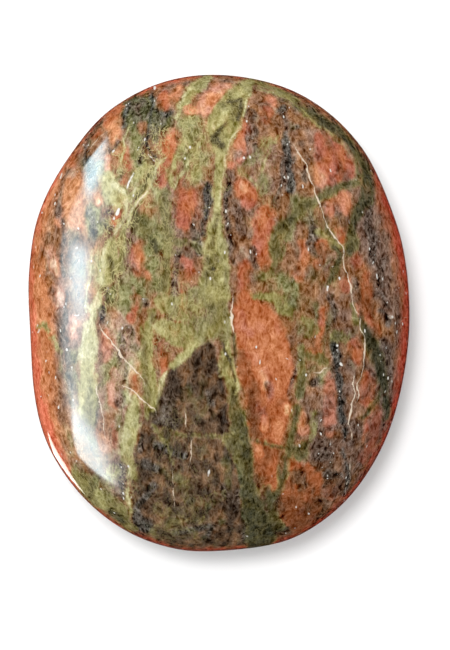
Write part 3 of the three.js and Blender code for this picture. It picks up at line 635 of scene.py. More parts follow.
# Where fine pale green threads run through the rock: (strength, points)
THREADS = [
    (1, [-4,26,1.4, -3.2,22.6,2.4, -3.4,19,1.8]),
    (1.3, [-8,24,1.2, -9.6,20,2, -11,16.6,2.4, -13,12.6,2.2, -14.2,7,2, -15,2,1.6]),
    (1.1, [-13.4,21,1.5, -14.6,17,1.6]),
    (0.5, [-13,-3,1.6, -13.6,-9,1.6]),
    (0.6, [-7,14,1.2, -7.4,9,1.8, -6.6,3,2, -3,0.4,2.6, -7.6,-3,2, -9.4,-9,1.4]),
    (0.6, [2.5,29.6,1.5, 1,25.6,2, 0.4,22,1.2, -0.5,8,1.4, 0,4,1.6]),
    (0.6, [-11.6,-12.4,1, -12.4,-18,1.2, -12,-26,0.8]),
    (0.6, [-18.4,-22,1.2, -15,-26,1.6]),
    (0.18, [-5,-15,3, -5,-22,4, -5,-28,4]),
    (0.12, [2.4,-17.6,1.4, 4.2,-24,1.2, 5,-30,1.6]),
    (0.25, [6,30,0.8, 10.6,27.6,1, 15.6,23.6,1, 18.4,20,1]),
    (0.35, [6,22,1.5, 5.5,18,1.5, 7,15.6,1, 4.6,12,1]),
    (0.25, [13,14,1.6, 16,9,1.4, 15,4,1.6]),
    (0.4, [-17,-4,1.2, -17.4,-10,1.4]),
]

# The red rind: direction in degrees, how wide it shows from above, how deep its red is, and
# how wide its reddest edge is
RIND = [(0, 1.8, 0.8, 1.3), (22, 2.0, 0.8, 1.2), (32, 2.2, 0.85, 1.0), (45, 0.7, 0.9, 0.6),
        (60, 0.9, 0.6, 0.3), (78, 0.5, 0.9, 0.8), (92, 0.4, 0.8, 1.0), (105, 0.9, 0.3, 0.8),
        (116, 0.3, 0.6, 0.5), (136, 0.5, 0.3, 0.5), (146, 1.5, 0.0, 0.6), (160, 1.5, 0.0, 0.5),
        (170, 2.6, 0.0, 0.5), (176, 3.2, 0.0, 0.6), (190, 3.3, 0.0, 1.1), (200, 3.3, 0.0, 1.3),
        (215, 2.6, 0.0, 1.6), (224, 1.2, 0.2, 1.4), (232, 0.4, 0.5, 0.8), (250, 0.2, 0.8, 0.6),
        (270, 0.1, 0.9, 0.5), (295, 0.4, 1.0, 0.9), (316, 0.7, 1.0, 1.3), (332, 1.1, 1.0, 1.3),
        (346, 1.5, 0.9, 1.3), (360, 1.8, 0.8, 1.3)]

# How bright the studio's light shows a white page, where 1 is as white as the picture gets
STUDIO_LIGHT = 1.45


def waves(places, length, seed, count=28):
    """Smooth noise from about -1 to 1 whose lumps are about this long, made of sine waves."""
    draw = np.random.default_rng(seed)
    heading = draw.normal(size=(count, 3))
    heading /= np.linalg.norm(heading, axis=1)[:, None]
    pitch = 2 * np.pi / length * draw.uniform(0.5, 1.4, count)
    start = draw.uniform(0, 2 * np.pi, count)
    return np.sin(places @ (heading * pitch[:, None]).T + start).sum(1) / math.sqrt(count)


def outline_radius(angle, share):
    """How far out the surface lies, where share is the part of the way out to the rim."""
    across = np.abs(np.cos(angle)) / (WIDTH / 2)
    along = np.abs(np.sin(angle)) / (LENGTH / 2)
    smooth = (across**OUTLINE_POWER + along**OUTLINE_POWER) ** (-1 / OUTLINE_POWER)
    swell = np.zeros_like(angle)
    for direction, spread, height in SWELLS:
        turn = np.abs((np.degrees(angle) - direction + 180) % 360 - 180) / spread
        swell += np.where(turn < 1, height * np.cos(np.clip(turn, 0, 1) * np.pi / 2) ** 2, 0)
    return share * (smooth + swell * share**SWELL_FADE)


def profile():
    """Fine points of the profile from the crest to the middle of the flat spot: the share of
    the way out, the height above the widest level, and the length of surface so far."""
    half = ((cad_high - cad_low).z * PER_METRE + FLAT_SPOT_DEPTH) / 2
    flat_level = FLAT_SPOT_DEPTH - half
    flat_turn = -math.asin((-flat_level / half) ** (PROFILE_POWER / 2))
    turn = np.linspace(np.pi / 2, flat_turn, PROFILE_STEPS)
    share = np.cos(turn).clip(0) ** (2 / PROFILE_POWER)
    height = half * np.sign(turn) * np.abs(np.sin(turn)) ** (2 / PROFILE_POWER)
    share = np.append(share, np.linspace(share[-1], 0, FLAT_STEPS)[1:])
    height = np.append(height, np.full(FLAT_STEPS - 1, flat_level))
    mean_radius = (WIDTH + LENGTH) / 4
    steps = np.hypot(np.diff(share) * mean_radius, np.diff(height))
    return share, height, np.append(0, np.cumsum(steps))


def ring_stations(length, rim_length):
    """The surface lengths at which rings of points lie, from the crest downwards, and the
    gap before each."""
    stations = [TOP_SPACING]
    while stations[-1] < length - UNDER_SPACING:
        below = np.clip((stations[-1] - rim_length) / SPACING_CHANGE, 0, 1)
        stations.append(stations[-1] + TOP_SPACING + below * (UNDER_SPACING - TOP_SPACING))
    gap = np.diff(stations, prepend=0)
    return np.array(stations), gap


def stitch(upper, lower):
    """Triangles that join two rings of points, each (first point's index, count, turn)."""
    first_a, count_a, turn_a = upper
    first_b, count_b, turn_b = lower
    faces = []
    a = b = 0
    while a < count_a or b < count_b:
        here_a, here_b = first_a + a % count_a, first_b + b % count_b
        next_a, next_b = first_a + (a + 1) % count_a, first_b + (b + 1) % count_b
        a_is_next = (a + 1 + turn_a) / count_a <= (b + 1 + turn_b) / count_b
        on_a = b == count_b or (a < count_a and a_is_next)
        faces.append((here_a, here_b, next_a if on_a else next_b))
        a, b = (a + 1, b) if on_a else (a, b + 1)
    return faces


def pebble():
    """The pebble's points and triangles, each point's length of surface from the crest, and
    that of the rim."""
    share, height, length = profile()
    rim_length = float(length[np.argmax(share)])
    stations, gaps = ring_stations(length[-1], rim_length)
    ring_share = np.interp(stations, length, share)
    ring_height = np.interp(stations, length, height)
    girth = np.pi * (WIDTH + LENGTH) / 2
    points = [np.array([[0, 0, height[0]]])]
    rings = []
    faces = []
    total = 1
    for index, (part, level, gap) in enumerate(zip(ring_share, ring_height, gaps)):
        count = max(6, round(girth * part / gap))
        turn = index % 2 / 2
        angle = (np.arange(count) + turn) / count * 2 * np.pi
        radius = outline_radius(angle, np.full(count, part))
        level = np.full(count, level)
        points.append(np.stack([radius * np.cos(angle), radius * np.sin(angle), level], 1))
        rings.append((total, count, turn))
        total += count
    points.append(np.array([[0, 0, height[-1]]]))
    top, bottom = 0, total
    first, count, _ = rings[0]
    faces += [(top, first + i, first + (i + 1) % count) for i in range(count)]
    for upper, lower in zip(rings, rings[1:]):
        faces += stitch(upper, lower)
    first, count, _ = rings[-1]
    faces += [(first + i, bottom, first + (i + 1) % count) for i in range(count)]
    ring_lengths = [np.full(ring[1], station) for ring, station in zip(rings, stations)]
    lengths = np.concatenate([[0], *ring_lengths, [length[-1]]])
    return np.concatenate(points), np.array(faces), lengths, rim_length


def normals_of(points, faces):
    corner = points[faces]
    face = np.cross(corner[:, 1] - corner[:, 0], corner[:, 2] - corner[:, 0])
    normal = np.zeros_like(points)
    for k in range(3):
        np.add.at(normal, faces[:, k], face)
    return normal / np.linalg.norm(normal, axis=1)[:, None]


def smooth_path(path, steps=4):
    """The points of a stroke, one a row, with a smooth curve between them."""
    points = np.reshape(path, (-1, 3)).astype(float)
    if len(points) == 1:
        return np.repeat(points, 2, 0)
    if len(points) == 2:
        return points
    held = np.concatenate([points[:1], points, points[-1:]])
    curve = []
    for a, b, c, d in zip(held, held[1:], held[2:], held[3:]):
        for t in np.arange(steps) / steps:
            curve.append(0.5 * (2 * b + (c - a) * t + (2 * a - 5 * b + 4 * c - d) * t**2
                                + (3 * b - a - 3 * c + d) * t**3))
    return np.array([*curve, points[-1]])


def stroke_field(x, y, path):
    """How deep each place lies inside a stroke, in mm, and less than 0 outside it. Then the
    distance to the stroke's line, less than 0 on its right, and the half width there."""
    line = smooth_path(path)
    pad = REACH + line[:, 2].max()
    low, high = line[:, :2].min(0) - pad, line[:, :2].max(0) + pad
    near = np.flatnonzero((x > low[0]) & (x < high[0]) & (y > low[1]) & (y < high[1]))
    px, py = x[near], y[near]
    cover = np.full(len(x), -REACH)
    across = np.full(len(x), REACH)
    width = np.zeros(len(x))
    best, side, wide = cover[near], across[near], width[near]
    for a, b in zip(line, line[1:]):
        run = b - a
        along = ((px - a[0]) * run[0] + (py - a[1]) * run[1]) / max(run[0] ** 2 + run[1] ** 2, 1e-9)
        along = along.clip(0, 1)
        off_x, off_y = px - a[0] - along * run[0], py - a[1] - along * run[1]
        distance = np.hypot(off_x, off_y)
        here = a[2] + along * run[2]
        deeper = here - distance > best
        best = np.where(deeper, here - distance, best)
        sign = np.where(run[0] * off_y - run[1] * off_x < 0, -1.0, 1.0)
        side = np.where(deeper, sign * distance, side)
        wide = np.where(deeper, here, wide)
    cover[near], across[near], width[near] = best, side, wide
    return cover, across, width


def smooth_step(value, low, high):
    share = ((value - low) / (high - low)).clip(0, 1)
    return share * share * (3 - 2 * share)


def layer(x, y, strokes):
    """One mineral's cover and tone at each place: later strokes paint over earlier ones."""
    cover = np.full(len(x), -REACH)
    tone = np.full(len(x), 0.5)
    for stroke_tone, hold, path in strokes:
        own = stroke_field(x, y, path)[0]
        cover = np.maximum(cover, np.minimum(own, hold))
        blend = TONE_BLEND * min(1, max(path[2::3]))
        tone += (stroke_tone - tone) * smooth_step(own, -blend, blend / 2)
    return cover, tone


def gentle_layer(x, y, strokes, starts):
    """Values that change gently from stroke to stroke, from the starts where there is none."""
    made = [np.full(len(x), start) for start in starts]
    for *values, path in strokes:
        share = smooth_step(stroke_field(x, y, path)[0], *GENTLE_FADE)
        made = [under + (value - under) * share for under, value in zip(made, values)]
    return made


def thread_layer(x, y):
    return np.max([smooth_step(stroke_field(x, y, path)[0], *THREAD_FADE) * strength
                   for strength, path in THREADS], 0)


def hairline_layer(x, y, lines):
    """The nearest hairline's cover, the distance across it, and its half width."""
    cover = np.full(len(x), -REACH)
    across = np.full(len(x), REACH)
    width = np.zeros(len(x))
    for path in lines:
        own = stroke_field(x, y, path)
        nearer = own[0] > cover
        found = cover, across, width
        cover, across, width = [np.where(nearer, new, old) for new, old in zip(own, found)]
    return cover, across, width


def by_chance(points, pattern, seed):
    length, height, mean = pattern
    return waves(points, length, seed) * height + mean


def markings(points, rim_level):
    """Every mineral's measures at each point of the pebble, and where painted glint highlights lie, by
    name.
    """
    depth = np.maximum(rim_level - points[:, 2], 0)
    sink = smooth_step(depth, *SINK)
    drift = DRIFT[0] + DRIFT[1] * depth
    leaning = [points[:, 0] + VEIN_LEAN[0] * depth, points[:, 1] + VEIN_LEAN[1] * depth]
    length, height = WAVER
    x = leaning[0] + waves(points, DRIFT_LENGTH, 1) * drift + height * waves(points, length, 3)
    y = leaning[1] + waves(points, DRIFT_LENGTH, 2) * drift + height * waves(points, length, 4)
    made = {}
    made["ground_tone"], made["moss"] = gentle_layer(x, y, GROUND, (0.5, 0.1))
    made["blush"], = gentle_layer(x, y, BLUSH, (0.4,))
    made["threads"] = thread_layer(x, y)
    cover, tone = layer(x, y, FELDSPAR)
    made["feldspar"] = cover + (by_chance(points, DEEP_FELDSPAR, 5) - cover) * sink
    made["feldspar_tone"] = tone + (by_chance(points, DEEP_TONE, 6) - tone) * sink
    cover, tone = layer(x, y, MICA)
    made["mica"] = cover + (by_chance(points * MICA_STRETCH, DEEP_MICA, 7) - cover) * sink
    made["mica_tone"] = tone
    made["wedge"] = layer(x, y, WEDGE)[0]
    made["epidote"], made["epidote_tone"] = layer(x, y, EPIDOTE)
    length, height = FINE_WAVER
    x = leaning[0] + height * waves(points, length, 8)
    y = leaning[1] + height * waves(points, length, 9)
    for name, lines in (("a", HAIRLINES_A), ("b", HAIRLINES_B)):
        measures = hairline_layer(x, y, lines)
        made["near_" + name], made["across_" + name], made["width_" + name] = measures
    # Painted highlights: where the glints are painted pale, fading below the rim
    glints = [stroke_field(points[:, 0], points[:, 1], path)[0] for path in PAINTED_GLINTS]
    made["glint"] = np.max(glints, 0) - depth
    angle = np.arctan2(points[:, 1], points[:, 0])
    edge = outline_radius(angle, np.ones_like(angle)) - np.hypot(points[:, 0], points[:, 1])
    turns, *measures = zip(*RIND)
    width, red, reddest = [np.interp(np.degrees(angle) % 360, turns, values) for values in measures]
    loss = smooth_step(depth, *RIND_FADE) * RIND_LOSS
    made["rind"] = (width - edge - loss).clip(-REACH, REACH)
    made["rind_red"] = red
    made["rind_edge"] = (reddest - edge).clip(-REACH, REACH)
    return made


def add_mesh(name, points, faces):
    mesh = bpy.data.meshes.new(name)
    mesh.from_pydata((points * MM).tolist(), [], faces.tolist())
    mesh.shade_smooth()
    piece = bpy.data.objects.new(name, mesh)
    bpy.context.scene.collection.objects.link(piece)
    return piece


def add_map(mesh, points, faces, lengths, rim_length):
    """Lays the top and the underside out as two discs, side by side, for whoever bakes."""
    full = lengths.max()
    angle = np.arctan2(points[:, 1], points[:, 0])
    shape = outline_radius(angle, np.ones_like(angle))
    over = np.minimum(lengths / rim_length, 1)
    under = np.minimum((full - lengths) / (full - rim_length), 1)
    across, along = shape * np.cos(angle) / WIDTH, shape * np.sin(angle) / LENGTH
    top = np.stack([1 / 4 + MAP_FILL / 2 * over * across, 1 / 2 + MAP_FILL * over * along], 1)
    bottom = np.stack([3 / 4 - MAP_FILL / 2 * under * across, 1 / 2 + MAP_FILL * under * along], 1)
    is_top = lengths[faces].mean(1) < rim_length
    uv = np.where(is_top[:, None, None], top[faces], bottom[faces])
    layer_uv = mesh.uv_layers.new(name="OFBake")
    layer_uv.uv.foreach_set("vector", uv.astype(np.float32).ravel())


def make_stone():
    points, faces, lengths, rim_length = pebble()
    low, high = points.min(0), points.max(0)
    solid_low, solid_high = np.array(cad_low) * PER_METRE, np.array(cad_high) * PER_METRE
    points = solid_low + (points - low) / (high - low) * (solid_high - solid_low)
    rim_level = points[np.argmin(np.abs(lengths - rim_length)), 2]
    normal = normals_of(points, faces)
    worn = (1 + waves(points, POLISH_LENGTH, 21)).clip(0) / 2
    worn *= smooth_step(points[:, 2], *POLISH_START)
    fields = markings(points, rim_level)
    points = points - normal * (POLISH_DIP * worn)[:, None]
    piece = add_mesh("polished_stone", points, faces)
    for name, values in fields.items():
        attribute = piece.data.attributes.new(name, "FLOAT", "POINT")
        attribute.data.foreach_set("value", values.astype(np.float32))
    add_map(piece.data, points, faces, lengths, rim_length)
    return piece


def colour(red, green, blue):
    """The colour that shows as this one, from 0 to 255 a channel, in the studio's light."""
    share = [c / 255 for c in (red, green, blue)]
    seen = [c / 12.92 if c < 0.04045 else ((c + 0.055) / 1.055) ** 2.4 for c in share]
    return (*[c / STUDIO_LIGHT for c in seen], 1)


# How the eye measures brightness, and the darkest that etching makes a colour there
EYE_GAMMA = 2.2
DARKEST = 0.04

# The places of the Mix node's sockets for colours
MIX_SHARE = 0
MIX_UNDER = 6
MIX_OVER = 7
MIX_COLOUR = 2


class Nodes:
    """Adds shader nodes to one tree. A value may be a number, a colour or another node's socket."""

    def __init__(self, tree):
        self.tree = tree

    def add(self, kind, inputs=None, **settings):
        made = self.tree.nodes.new("ShaderNode" + kind)
        for name, value in settings.items():
            setattr(made, name, value)
        for key, value in (inputs or {}).items():
            if isinstance(value, bpy.types.NodeSocket):
                self.tree.links.new(value, made.inputs[key])
            else:
                made.inputs[key].default_value = value
        return made

    def math(self, operation, first, second=0.0):
        return self.add("Math", {0: first, 1: second}, operation=operation).outputs[0]

    def sum(self, first, *others):
        for other in others:
            first = self.math("ADD", first, other)
        return first

    def times(self, first, second):
        return self.math("MULTIPLY", first, second)

    def centred(self, value, size):
        """A value from 0 to 1 as one from minus half this size to plus half of it."""
        return self.times(self.math("SUBTRACT", value, 0.5), size)

    def vector(self, operation, first, second):
        return self.add("VectorMath", {0: first, 1: second}, operation=operation).outputs[0]

    def stretched(self, places, factors):
        return self.vector("MULTIPLY", places, factors)

    def elsewhere(self, places, distance):
        """The same places far away, where the noise is another one."""
        return self.vector("ADD", places, (distance, distance / 2, distance / 3))

    def noise(self, places, scale, detail=2.0, roughness=0.5, kind="FBM", **more):
        inputs = {"Vector": places, "Scale": scale, "Detail": detail, "Roughness": roughness, **more}
        return self.add("TexNoise", inputs, noise_type=kind).outputs["Fac"]

    def warp(self, places, scale, size):
        """The places, pushed about by noise."""
        push = self.add("TexNoise", {"Vector": places, "Scale": scale, "Detail": 1.0}).outputs["Color"]
        centred = self.vector("SUBTRACT", push, (0.5, 0.5, 0.5))
        return self.vector("ADD", places, self.vector("MULTIPLY", centred, (size, size, size)))

    def spots(self, places, scale, radius):
        """1 in round spots, and a random value for each spot."""
        cells = self.add("TexVoronoi", {"Vector": places, "Scale": scale}, feature="F1")
        parts = self.add("SeparateColor", {"Color": cells.outputs["Color"]})
        inside = self.math("SUBTRACT", 1.0, self.rise(cells.outputs["Distance"], radius / 2, radius))
        return inside, parts.outputs[0]

    def thread(self, places, scale, width):
        """1 along fine winding lines, and 0 between them."""
        off = self.math("ABSOLUTE", self.centred(self.noise(places, scale, 2.0, 0.5), 1.0))
        return self.math("SUBTRACT", 1.0, self.rise(off, width / 3, width))

    def blend(self, share, under, over):
        """A number between two others."""
        step = self.math("SUBTRACT", over, under)
        return self.sum(self.times(share, step), under)

    def etch(self, shade, amount):
        """A colour made paler or darker by an amount of white, as the eye measures it."""
        seen = self.add("Gamma", {"Color": shade, "Gamma": 1 / EYE_GAMMA}).outputs[0]
        seen = self.vector("MAXIMUM", self.vector("ADD", seen, amount), (DARKEST,) * 3)
        return self.add("Gamma", {"Color": seen, "Gamma": EYE_GAMMA}).outputs[0]

    def attribute(self, name):
        return self.add("Attribute", attribute_name=name, attribute_type="GEOMETRY").outputs["Fac"]

    def rise(self, value, low, high):
        """0 below low, 1 above high, and smooth between."""
        inputs = {"Value": value, "From Min": low, "From Max": high}
        return self.add("MapRange", inputs, interpolation_type="SMOOTHSTEP").outputs[0]

    def ramp(self, value, *stops):
        """Colours by value, from stops of a value and a colour's red, green and blue."""
        made = self.add("ValToRGB", {"Fac": value})
        bar = made.color_ramp
        while len(bar.elements) < len(stops):
            bar.elements.new(0.5)
        for element, (place, *shade) in zip(bar.elements, stops):
            element.position = place
            element.color = colour(*shade)
        return made.outputs["Color"]

    def mix(self, share, under, over):
        """A colour between two others."""
        inputs = {MIX_SHARE: share, MIX_UNDER: under, MIX_OVER: over}
        return self.add("Mix", inputs, data_type="RGBA", clamp_factor=True).outputs[MIX_COLOUR]


class Grit:
    """The noises that the minerals share. Each one lies about 0, mostly within 0.5 of it."""

    def __init__(self, n):
        mm = n.stretched(n.add("TexCoord").outputs["Object"], (PER_METRE,) * 3)
        streaked = n.warp(n.stretched(mm, (1.0, 0.6, 1.0)), 0.8, 0.8)
        fibrous = n.warp(n.stretched(mm, (1.0, 0.34, 1.0)), 0.55, 1.3)
        self.cloud = n.centred(n.noise(mm, 0.3), 2.4)
        self.patch = n.centred(n.noise(streaked, 0.75), 2.4)
        self.tint = n.centred(n.noise(n.elsewhere(streaked, 31), 0.6, 1.0), 2.2)
        self.sand = n.centred(n.noise(streaked, 2.3, 3.0, 0.7), 2.6)
        self.fibre = n.centred(n.noise(fibrous, 2.2, 3.0, 0.65), 2.4)
        ridges = n.noise(streaked, 1.6, 3.0, 0.72, "RIDGED_MULTIFRACTAL", Offset=1.0, Gain=2.0)
        far_off = n.elsewhere(streaked, 7)
        clots = n.noise(far_off, 1.4, 3.0, 0.65, "HYBRID_MULTIFRACTAL", Offset=0.7, Gain=1.0)
        dust = n.noise(streaked, 5.0, 1.0, 0.6)
        self.etching = n.sum(n.centred(n.times(ridges, 0.35), 1.0), n.centred(n.times(clots, 0.5), 0.35),
                             n.centred(dust, 0.7), -0.03)
        curled = n.warp(n.stretched(mm, (1.0, 0.5, 1.0)), 0.4, 2.4)
        broad = n.thread(curled, 0.6, 0.014)
        narrow = n.thread(n.elsewhere(curled, 17), 1.1, 0.02)
        self.threads = n.math("MAXIMUM", broad, narrow)
        # Round specks, where painted sparkle highlights may show
        self.spots, self.chance = n.spots(streaked, 2.4, 0.42)


def ground_colour(n, grit, lean):
    """Mixed brown, pink and dark grains, the ground that everything else lies in."""
    value = n.sum(n.attribute("ground_tone"), n.times(grit.patch, 0.22), n.times(grit.cloud, 0.08))
    rusty = n.ramp(value, (0, 56, 38, 24), (0.25, 100, 66, 40), (0.5, 150, 102, 64),
                   (0.75, 194, 142, 98), (1, 228, 188, 142))
    rosy = n.ramp(value, (0, 54, 44, 38), (0.25, 96, 74, 62), (0.5, 142, 110, 92),
                  (0.75, 188, 152, 132), (1, 226, 202, 186))
    mossy = n.ramp(value, (0, 42, 45, 33), (0.25, 79, 81, 52), (0.5, 122, 119, 74),
                   (0.75, 165, 163, 112), (1, 210, 207, 160))
    moss = n.sum(n.attribute("moss"), n.times(grit.tint, -0.5), n.times(grit.patch, 0.3))
    return n.mix(n.rise(moss, 0.15, 0.8), n.mix(lean, rusty, rosy), mossy)


def feldspar_colour(n, grit, lean):
    value = n.sum(n.attribute("feldspar_tone"), n.times(grit.patch, 0.2), n.times(grit.cloud, 0.1))
    orange = n.ramp(value, (0, 90, 52, 28), (0.25, 136, 78, 44), (0.5, 184, 104, 62),
                    (0.72, 208, 132, 88), (0.88, 222, 156, 110), (1, 232, 190, 140))
    rose = n.ramp(value, (0, 92, 54, 42), (0.25, 136, 80, 62), (0.5, 180, 102, 80),
                  (0.72, 204, 136, 112), (0.88, 220, 164, 142), (1, 234, 202, 182))
    return n.mix(lean, orange, rose)


def mica_colour(n, grit):
    value = n.sum(0.42, n.times(grit.sand, 0.3), n.times(grit.patch, 0.3))
    dark = n.ramp(value, (0, 24, 27, 28), (0.35, 48, 52, 50), (0.6, 82, 82, 76), (0.85, 128, 122, 112))
    brown = n.ramp(value, (0, 40, 30, 22), (0.4, 76, 58, 46), (0.7, 112, 88, 72), (1, 166, 140, 120))
    return n.mix(n.attribute("mica_tone"), dark, brown)


def wedge_colour(n, grit):
    value = n.sum(0.42, n.times(grit.patch, 0.62), n.times(grit.sand, 0.08), n.times(grit.cloud, 0.2))
    brown = n.ramp(value, (0, 46, 36, 28), (0.3, 76, 58, 43), (0.5, 106, 80, 58), (0.72, 134, 98, 68),
                   (1, 172, 132, 98))
    olive = n.ramp(value, (0, 44, 42, 32), (0.35, 74, 68, 44), (0.65, 104, 94, 58), (1, 148, 140, 94))
    share = n.rise(n.sum(n.times(grit.cloud, 0.8), n.times(grit.tint, 1.0)), 0.05, 0.7)
    return n.mix(share, brown, olive)


def epidote_colour(n, grit, cover, lean):
    margin = n.times(n.rise(cover, 0.5, 0.1), 0.08)
    value = n.sum(n.attribute("epidote_tone"), n.times(grit.fibre, 0.2), n.times(grit.patch, 0.2),
                  n.times(grit.tint, 0.1), margin)
    green = n.ramp(value, (0, 56, 54, 34), (0.2, 88, 80, 44), (0.42, 124, 114, 64),
                   (0.62, 156, 148, 88), (0.8, 188, 182, 120), (1, 226, 220, 172))
    ashen = n.ramp(value, (0, 52, 54, 42), (0.2, 78, 78, 60), (0.42, 116, 112, 86),
                   (0.62, 150, 148, 112), (0.8, 182, 180, 142), (1, 220, 218, 188))
    return n.mix(n.times(lean, 0.45), green, ashen)


def rind_colour(n, grit):
    value = n.sum(0.5, n.times(grit.patch, 0.4), n.times(grit.cloud, 0.3), n.times(grit.sand, 0.15))
    rust = n.ramp(value, (0, 146, 84, 46), (0.35, 188, 114, 70), (0.65, 214, 140, 94),
                  (1, 236, 178, 136))
    coral = n.ramp(value, (0, 186, 86, 58), (0.35, 220, 108, 76), (0.65, 240, 128, 94),
                   (1, 250, 172, 142))
    brown = n.ramp(value, (0, 96, 44, 28), (0.35, 128, 60, 38), (0.65, 152, 76, 48), (1, 182, 106, 74))
    crimson = n.ramp(value, (0, 132, 36, 22), (0.35, 164, 48, 30), (0.65, 186, 60, 40),
                     (1, 206, 92, 68))
    outer = n.rise(n.sum(n.attribute("rind_edge"), n.times(grit.tint, -0.8)), -0.5, 0.6)
    red = n.attribute("rind_red")
    return n.mix(red, n.mix(outer, rust, coral), n.mix(outer, brown, crimson))


def mask(n, cover, soft):
    """1 where a mineral shows, from its cover in mm, with an edge of this softness."""
    return n.rise(cover, -soft, soft)


def add_hairlines(n, grit, body):
    """Fine cream cracks that wander and thin out a little along their length."""
    thinning = n.sum(n.times(grit.patch, 0.1), n.times(grit.sand, 0.08), -0.045)
    wander = n.sum(n.times(grit.sand, 0.17), n.times(grit.patch, 0.14))
    for name in ("a", "b"):
        across = n.math("ABSOLUTE", n.sum(n.attribute("across_" + name), wander))
        deep = n.math("SUBTRACT", n.sum(n.attribute("width_" + name), thinning), across)
        near = n.rise(n.attribute("near_" + name), -0.4, -0.25)
        share = n.times(n.rise(deep, -0.08, 0.05), near)
        body = n.mix(n.times(share, 0.9), body, colour(248, 229, 204))
    return body


def unakite():
    """Polished unakite. The mesh carries where each mineral lies and where painted glint highlights go;
    noise makes the grains and scatters painted sparkles. Strength is how strongly the grains are etched
    into whatever shows."""
    material = bpy.data.materials.new("unakite")
    material.use_nodes = True
    material.node_tree.nodes.clear()
    n = Nodes(material.node_tree)
    grit = Grit(n)
    ragged = n.sum(n.times(grit.sand, 0.16), n.times(grit.patch, 0.8), n.times(grit.cloud, 0.3))
    lean = n.rise(n.sum(n.attribute("blush"), n.times(grit.tint, -0.7)), 0.1, 0.9)

    body = ground_colour(n, grit, lean)
    strength = 0.36

    share = mask(n, n.sum(n.attribute("feldspar"), n.times(ragged, 0.9)), 0.5)
    body = n.mix(share, body, feldspar_colour(n, grit, lean))
    strength = n.blend(share, strength, 0.26)

    share = mask(n, n.sum(n.attribute("wedge"), n.times(ragged, 0.5)), 0.25)
    body = n.mix(share, body, wedge_colour(n, grit))
    strength = n.blend(share, strength, 0.26)
    dull = share

    share = mask(n, n.sum(n.attribute("mica"), n.times(ragged, 0.8)), 0.4)
    body = n.mix(n.times(share, 0.9), body, mica_colour(n, grit))
    strength = n.blend(share, strength, 0.5)
    # The mica's share, which also lets more painted sparkle highlights show and makes the polish rougher
    sparkle = share

    share = mask(n, n.sum(n.attribute("rind"), n.times(ragged, 0.9)), 0.8)
    body = n.mix(n.times(share, 0.95), body, rind_colour(n, grit))
    strength = n.blend(share, strength, 0.3)

    cover = n.sum(n.attribute("epidote"), n.times(grit.fibre, 0.42), n.times(grit.patch, 0.28),
                  n.times(grit.sand, 0.12))
    share = mask(n, cover, 0.35)
    gaps = n.rise(n.sum(n.times(grit.tint, 0.7), n.times(grit.patch, 0.5)), 0.15, 0.6)
    share = n.times(share, n.math("SUBTRACT", 0.95, n.times(gaps, 0.3)))
    body = n.mix(share, body, epidote_colour(n, grit, cover, lean))
    strength = n.blend(share, strength, 0.26)

    body = n.etch(body, n.times(grit.etching, strength))
    share = n.times(grit.threads, n.times(n.attribute("threads"), 0.6))
    body = n.mix(share, body, colour(208, 198, 140))

    body = add_hairlines(n, grit, body)
    # Painted highlights: scattered sparkles, most in the mica and fewest in the wedge, painted as pale
    # specks
    painted_sparkle = n.rise(n.sum(grit.chance, n.times(sparkle, 0.1), n.times(dull, -0.11)), 0.985, 0.995)
    body = n.mix(n.times(painted_sparkle, grit.spots), body, colour(236, 232, 222))
    # Painted highlights: the listed glints, painted near white
    glint = n.rise(n.sum(n.attribute("glint"), n.times(grit.sand, 0.05)), -0.07, 0.05)
    body = n.mix(glint, body, colour(250, 248, 240))

    gloss = n.sum(0.08, n.times(sparkle, 0.05), n.times(grit.sand, 0.02))
    bump = n.add("Bump", {"Strength": 0.03, "Distance": 0.00002, "Height": grit.patch})
    shader = n.add("BsdfPrincipled", {
        "Base Color": body,
        "Roughness": gloss,
        "IOR": 1.54,
        "Normal": bump.outputs["Normal"],
    })
    output = n.add("OutputMaterial")
    n.tree.links.new(shader.outputs["BSDF"], output.inputs["Surface"])
    return material


# The camera looks straight down. The photo's frame is 450 by 650, and the stone's length
# takes up 477 of its rows, with its middle at (219, 313)
FRAME_WIDTH = 450
FRAME_HEIGHT = 650
STONE_ROWS = 477
STONE_MIDDLE = (219, 313)
CAMERA_DISTANCE = 500
SENSOR = 36

# How far off the wall with the windows stands, and its width and height, in metres
WALL_DISTANCE = 1.0
WALL_SIZE = (3.2, 1.8)

# Its panes: (brightness, tint, turn, spans, fades), as pane_glow takes them
PANES = [
    (15, (0.70, 0.93, 1.0), 14, ((0.72, 1.12), (-0.06, 0.84)), ((0.08, 0.18), (0.10, 0.40))),
    (12.5, (0.80, 0.95, 1.0), 0, ((-0.09, 0.36), (0.58, 1.40)), ((0.18, 0.14), (0.36, 0.40))),
    (14, (0.88, 1.0, 0.99), 45, ((-0.31, 0.46), (0.65, 1.66)), ((0.08, 0.34), (0.07, 0.54))),
    (4, (0.82, 0.96, 1.0), 0, ((-0.75, 0.90), (0.40, 1.60)), ((0.30, 0.30), (0.20, 0.60))),
    (2.5, (0.84, 0.94, 1.0), 0, ((-1.5, 1.1), (0.35, 1.8)), ((0.4, 0.4), (0.35, 0.5))),
]

# The sky is brighter on one side: its mean, how much it leans, and towards where
SKY_BRIGHTNESS = 0.99
SKY_LEAN = 0.6
SKY_SIDE = (-0.72, 0.69, 0)

# The lamp that makes the shadow, and the strip on the floor that the foot of the left rim
# mirrors: where it is, how large, and how bright a white page would be to match it
KEY = {"place": (-0.116, 0.164, 1.0), "size": (0.2, 0.2), "brightness": 43}
FOOT_GLINT = {"place": (-0.036, -0.029, 0.0005), "size": (0.014, 0.012), "brightness": 7}
FOOT_GLINT_TINT = (1.0, 0.95, 0.86)

# Half the width of the floor
FLOOR_REACH = 2.5


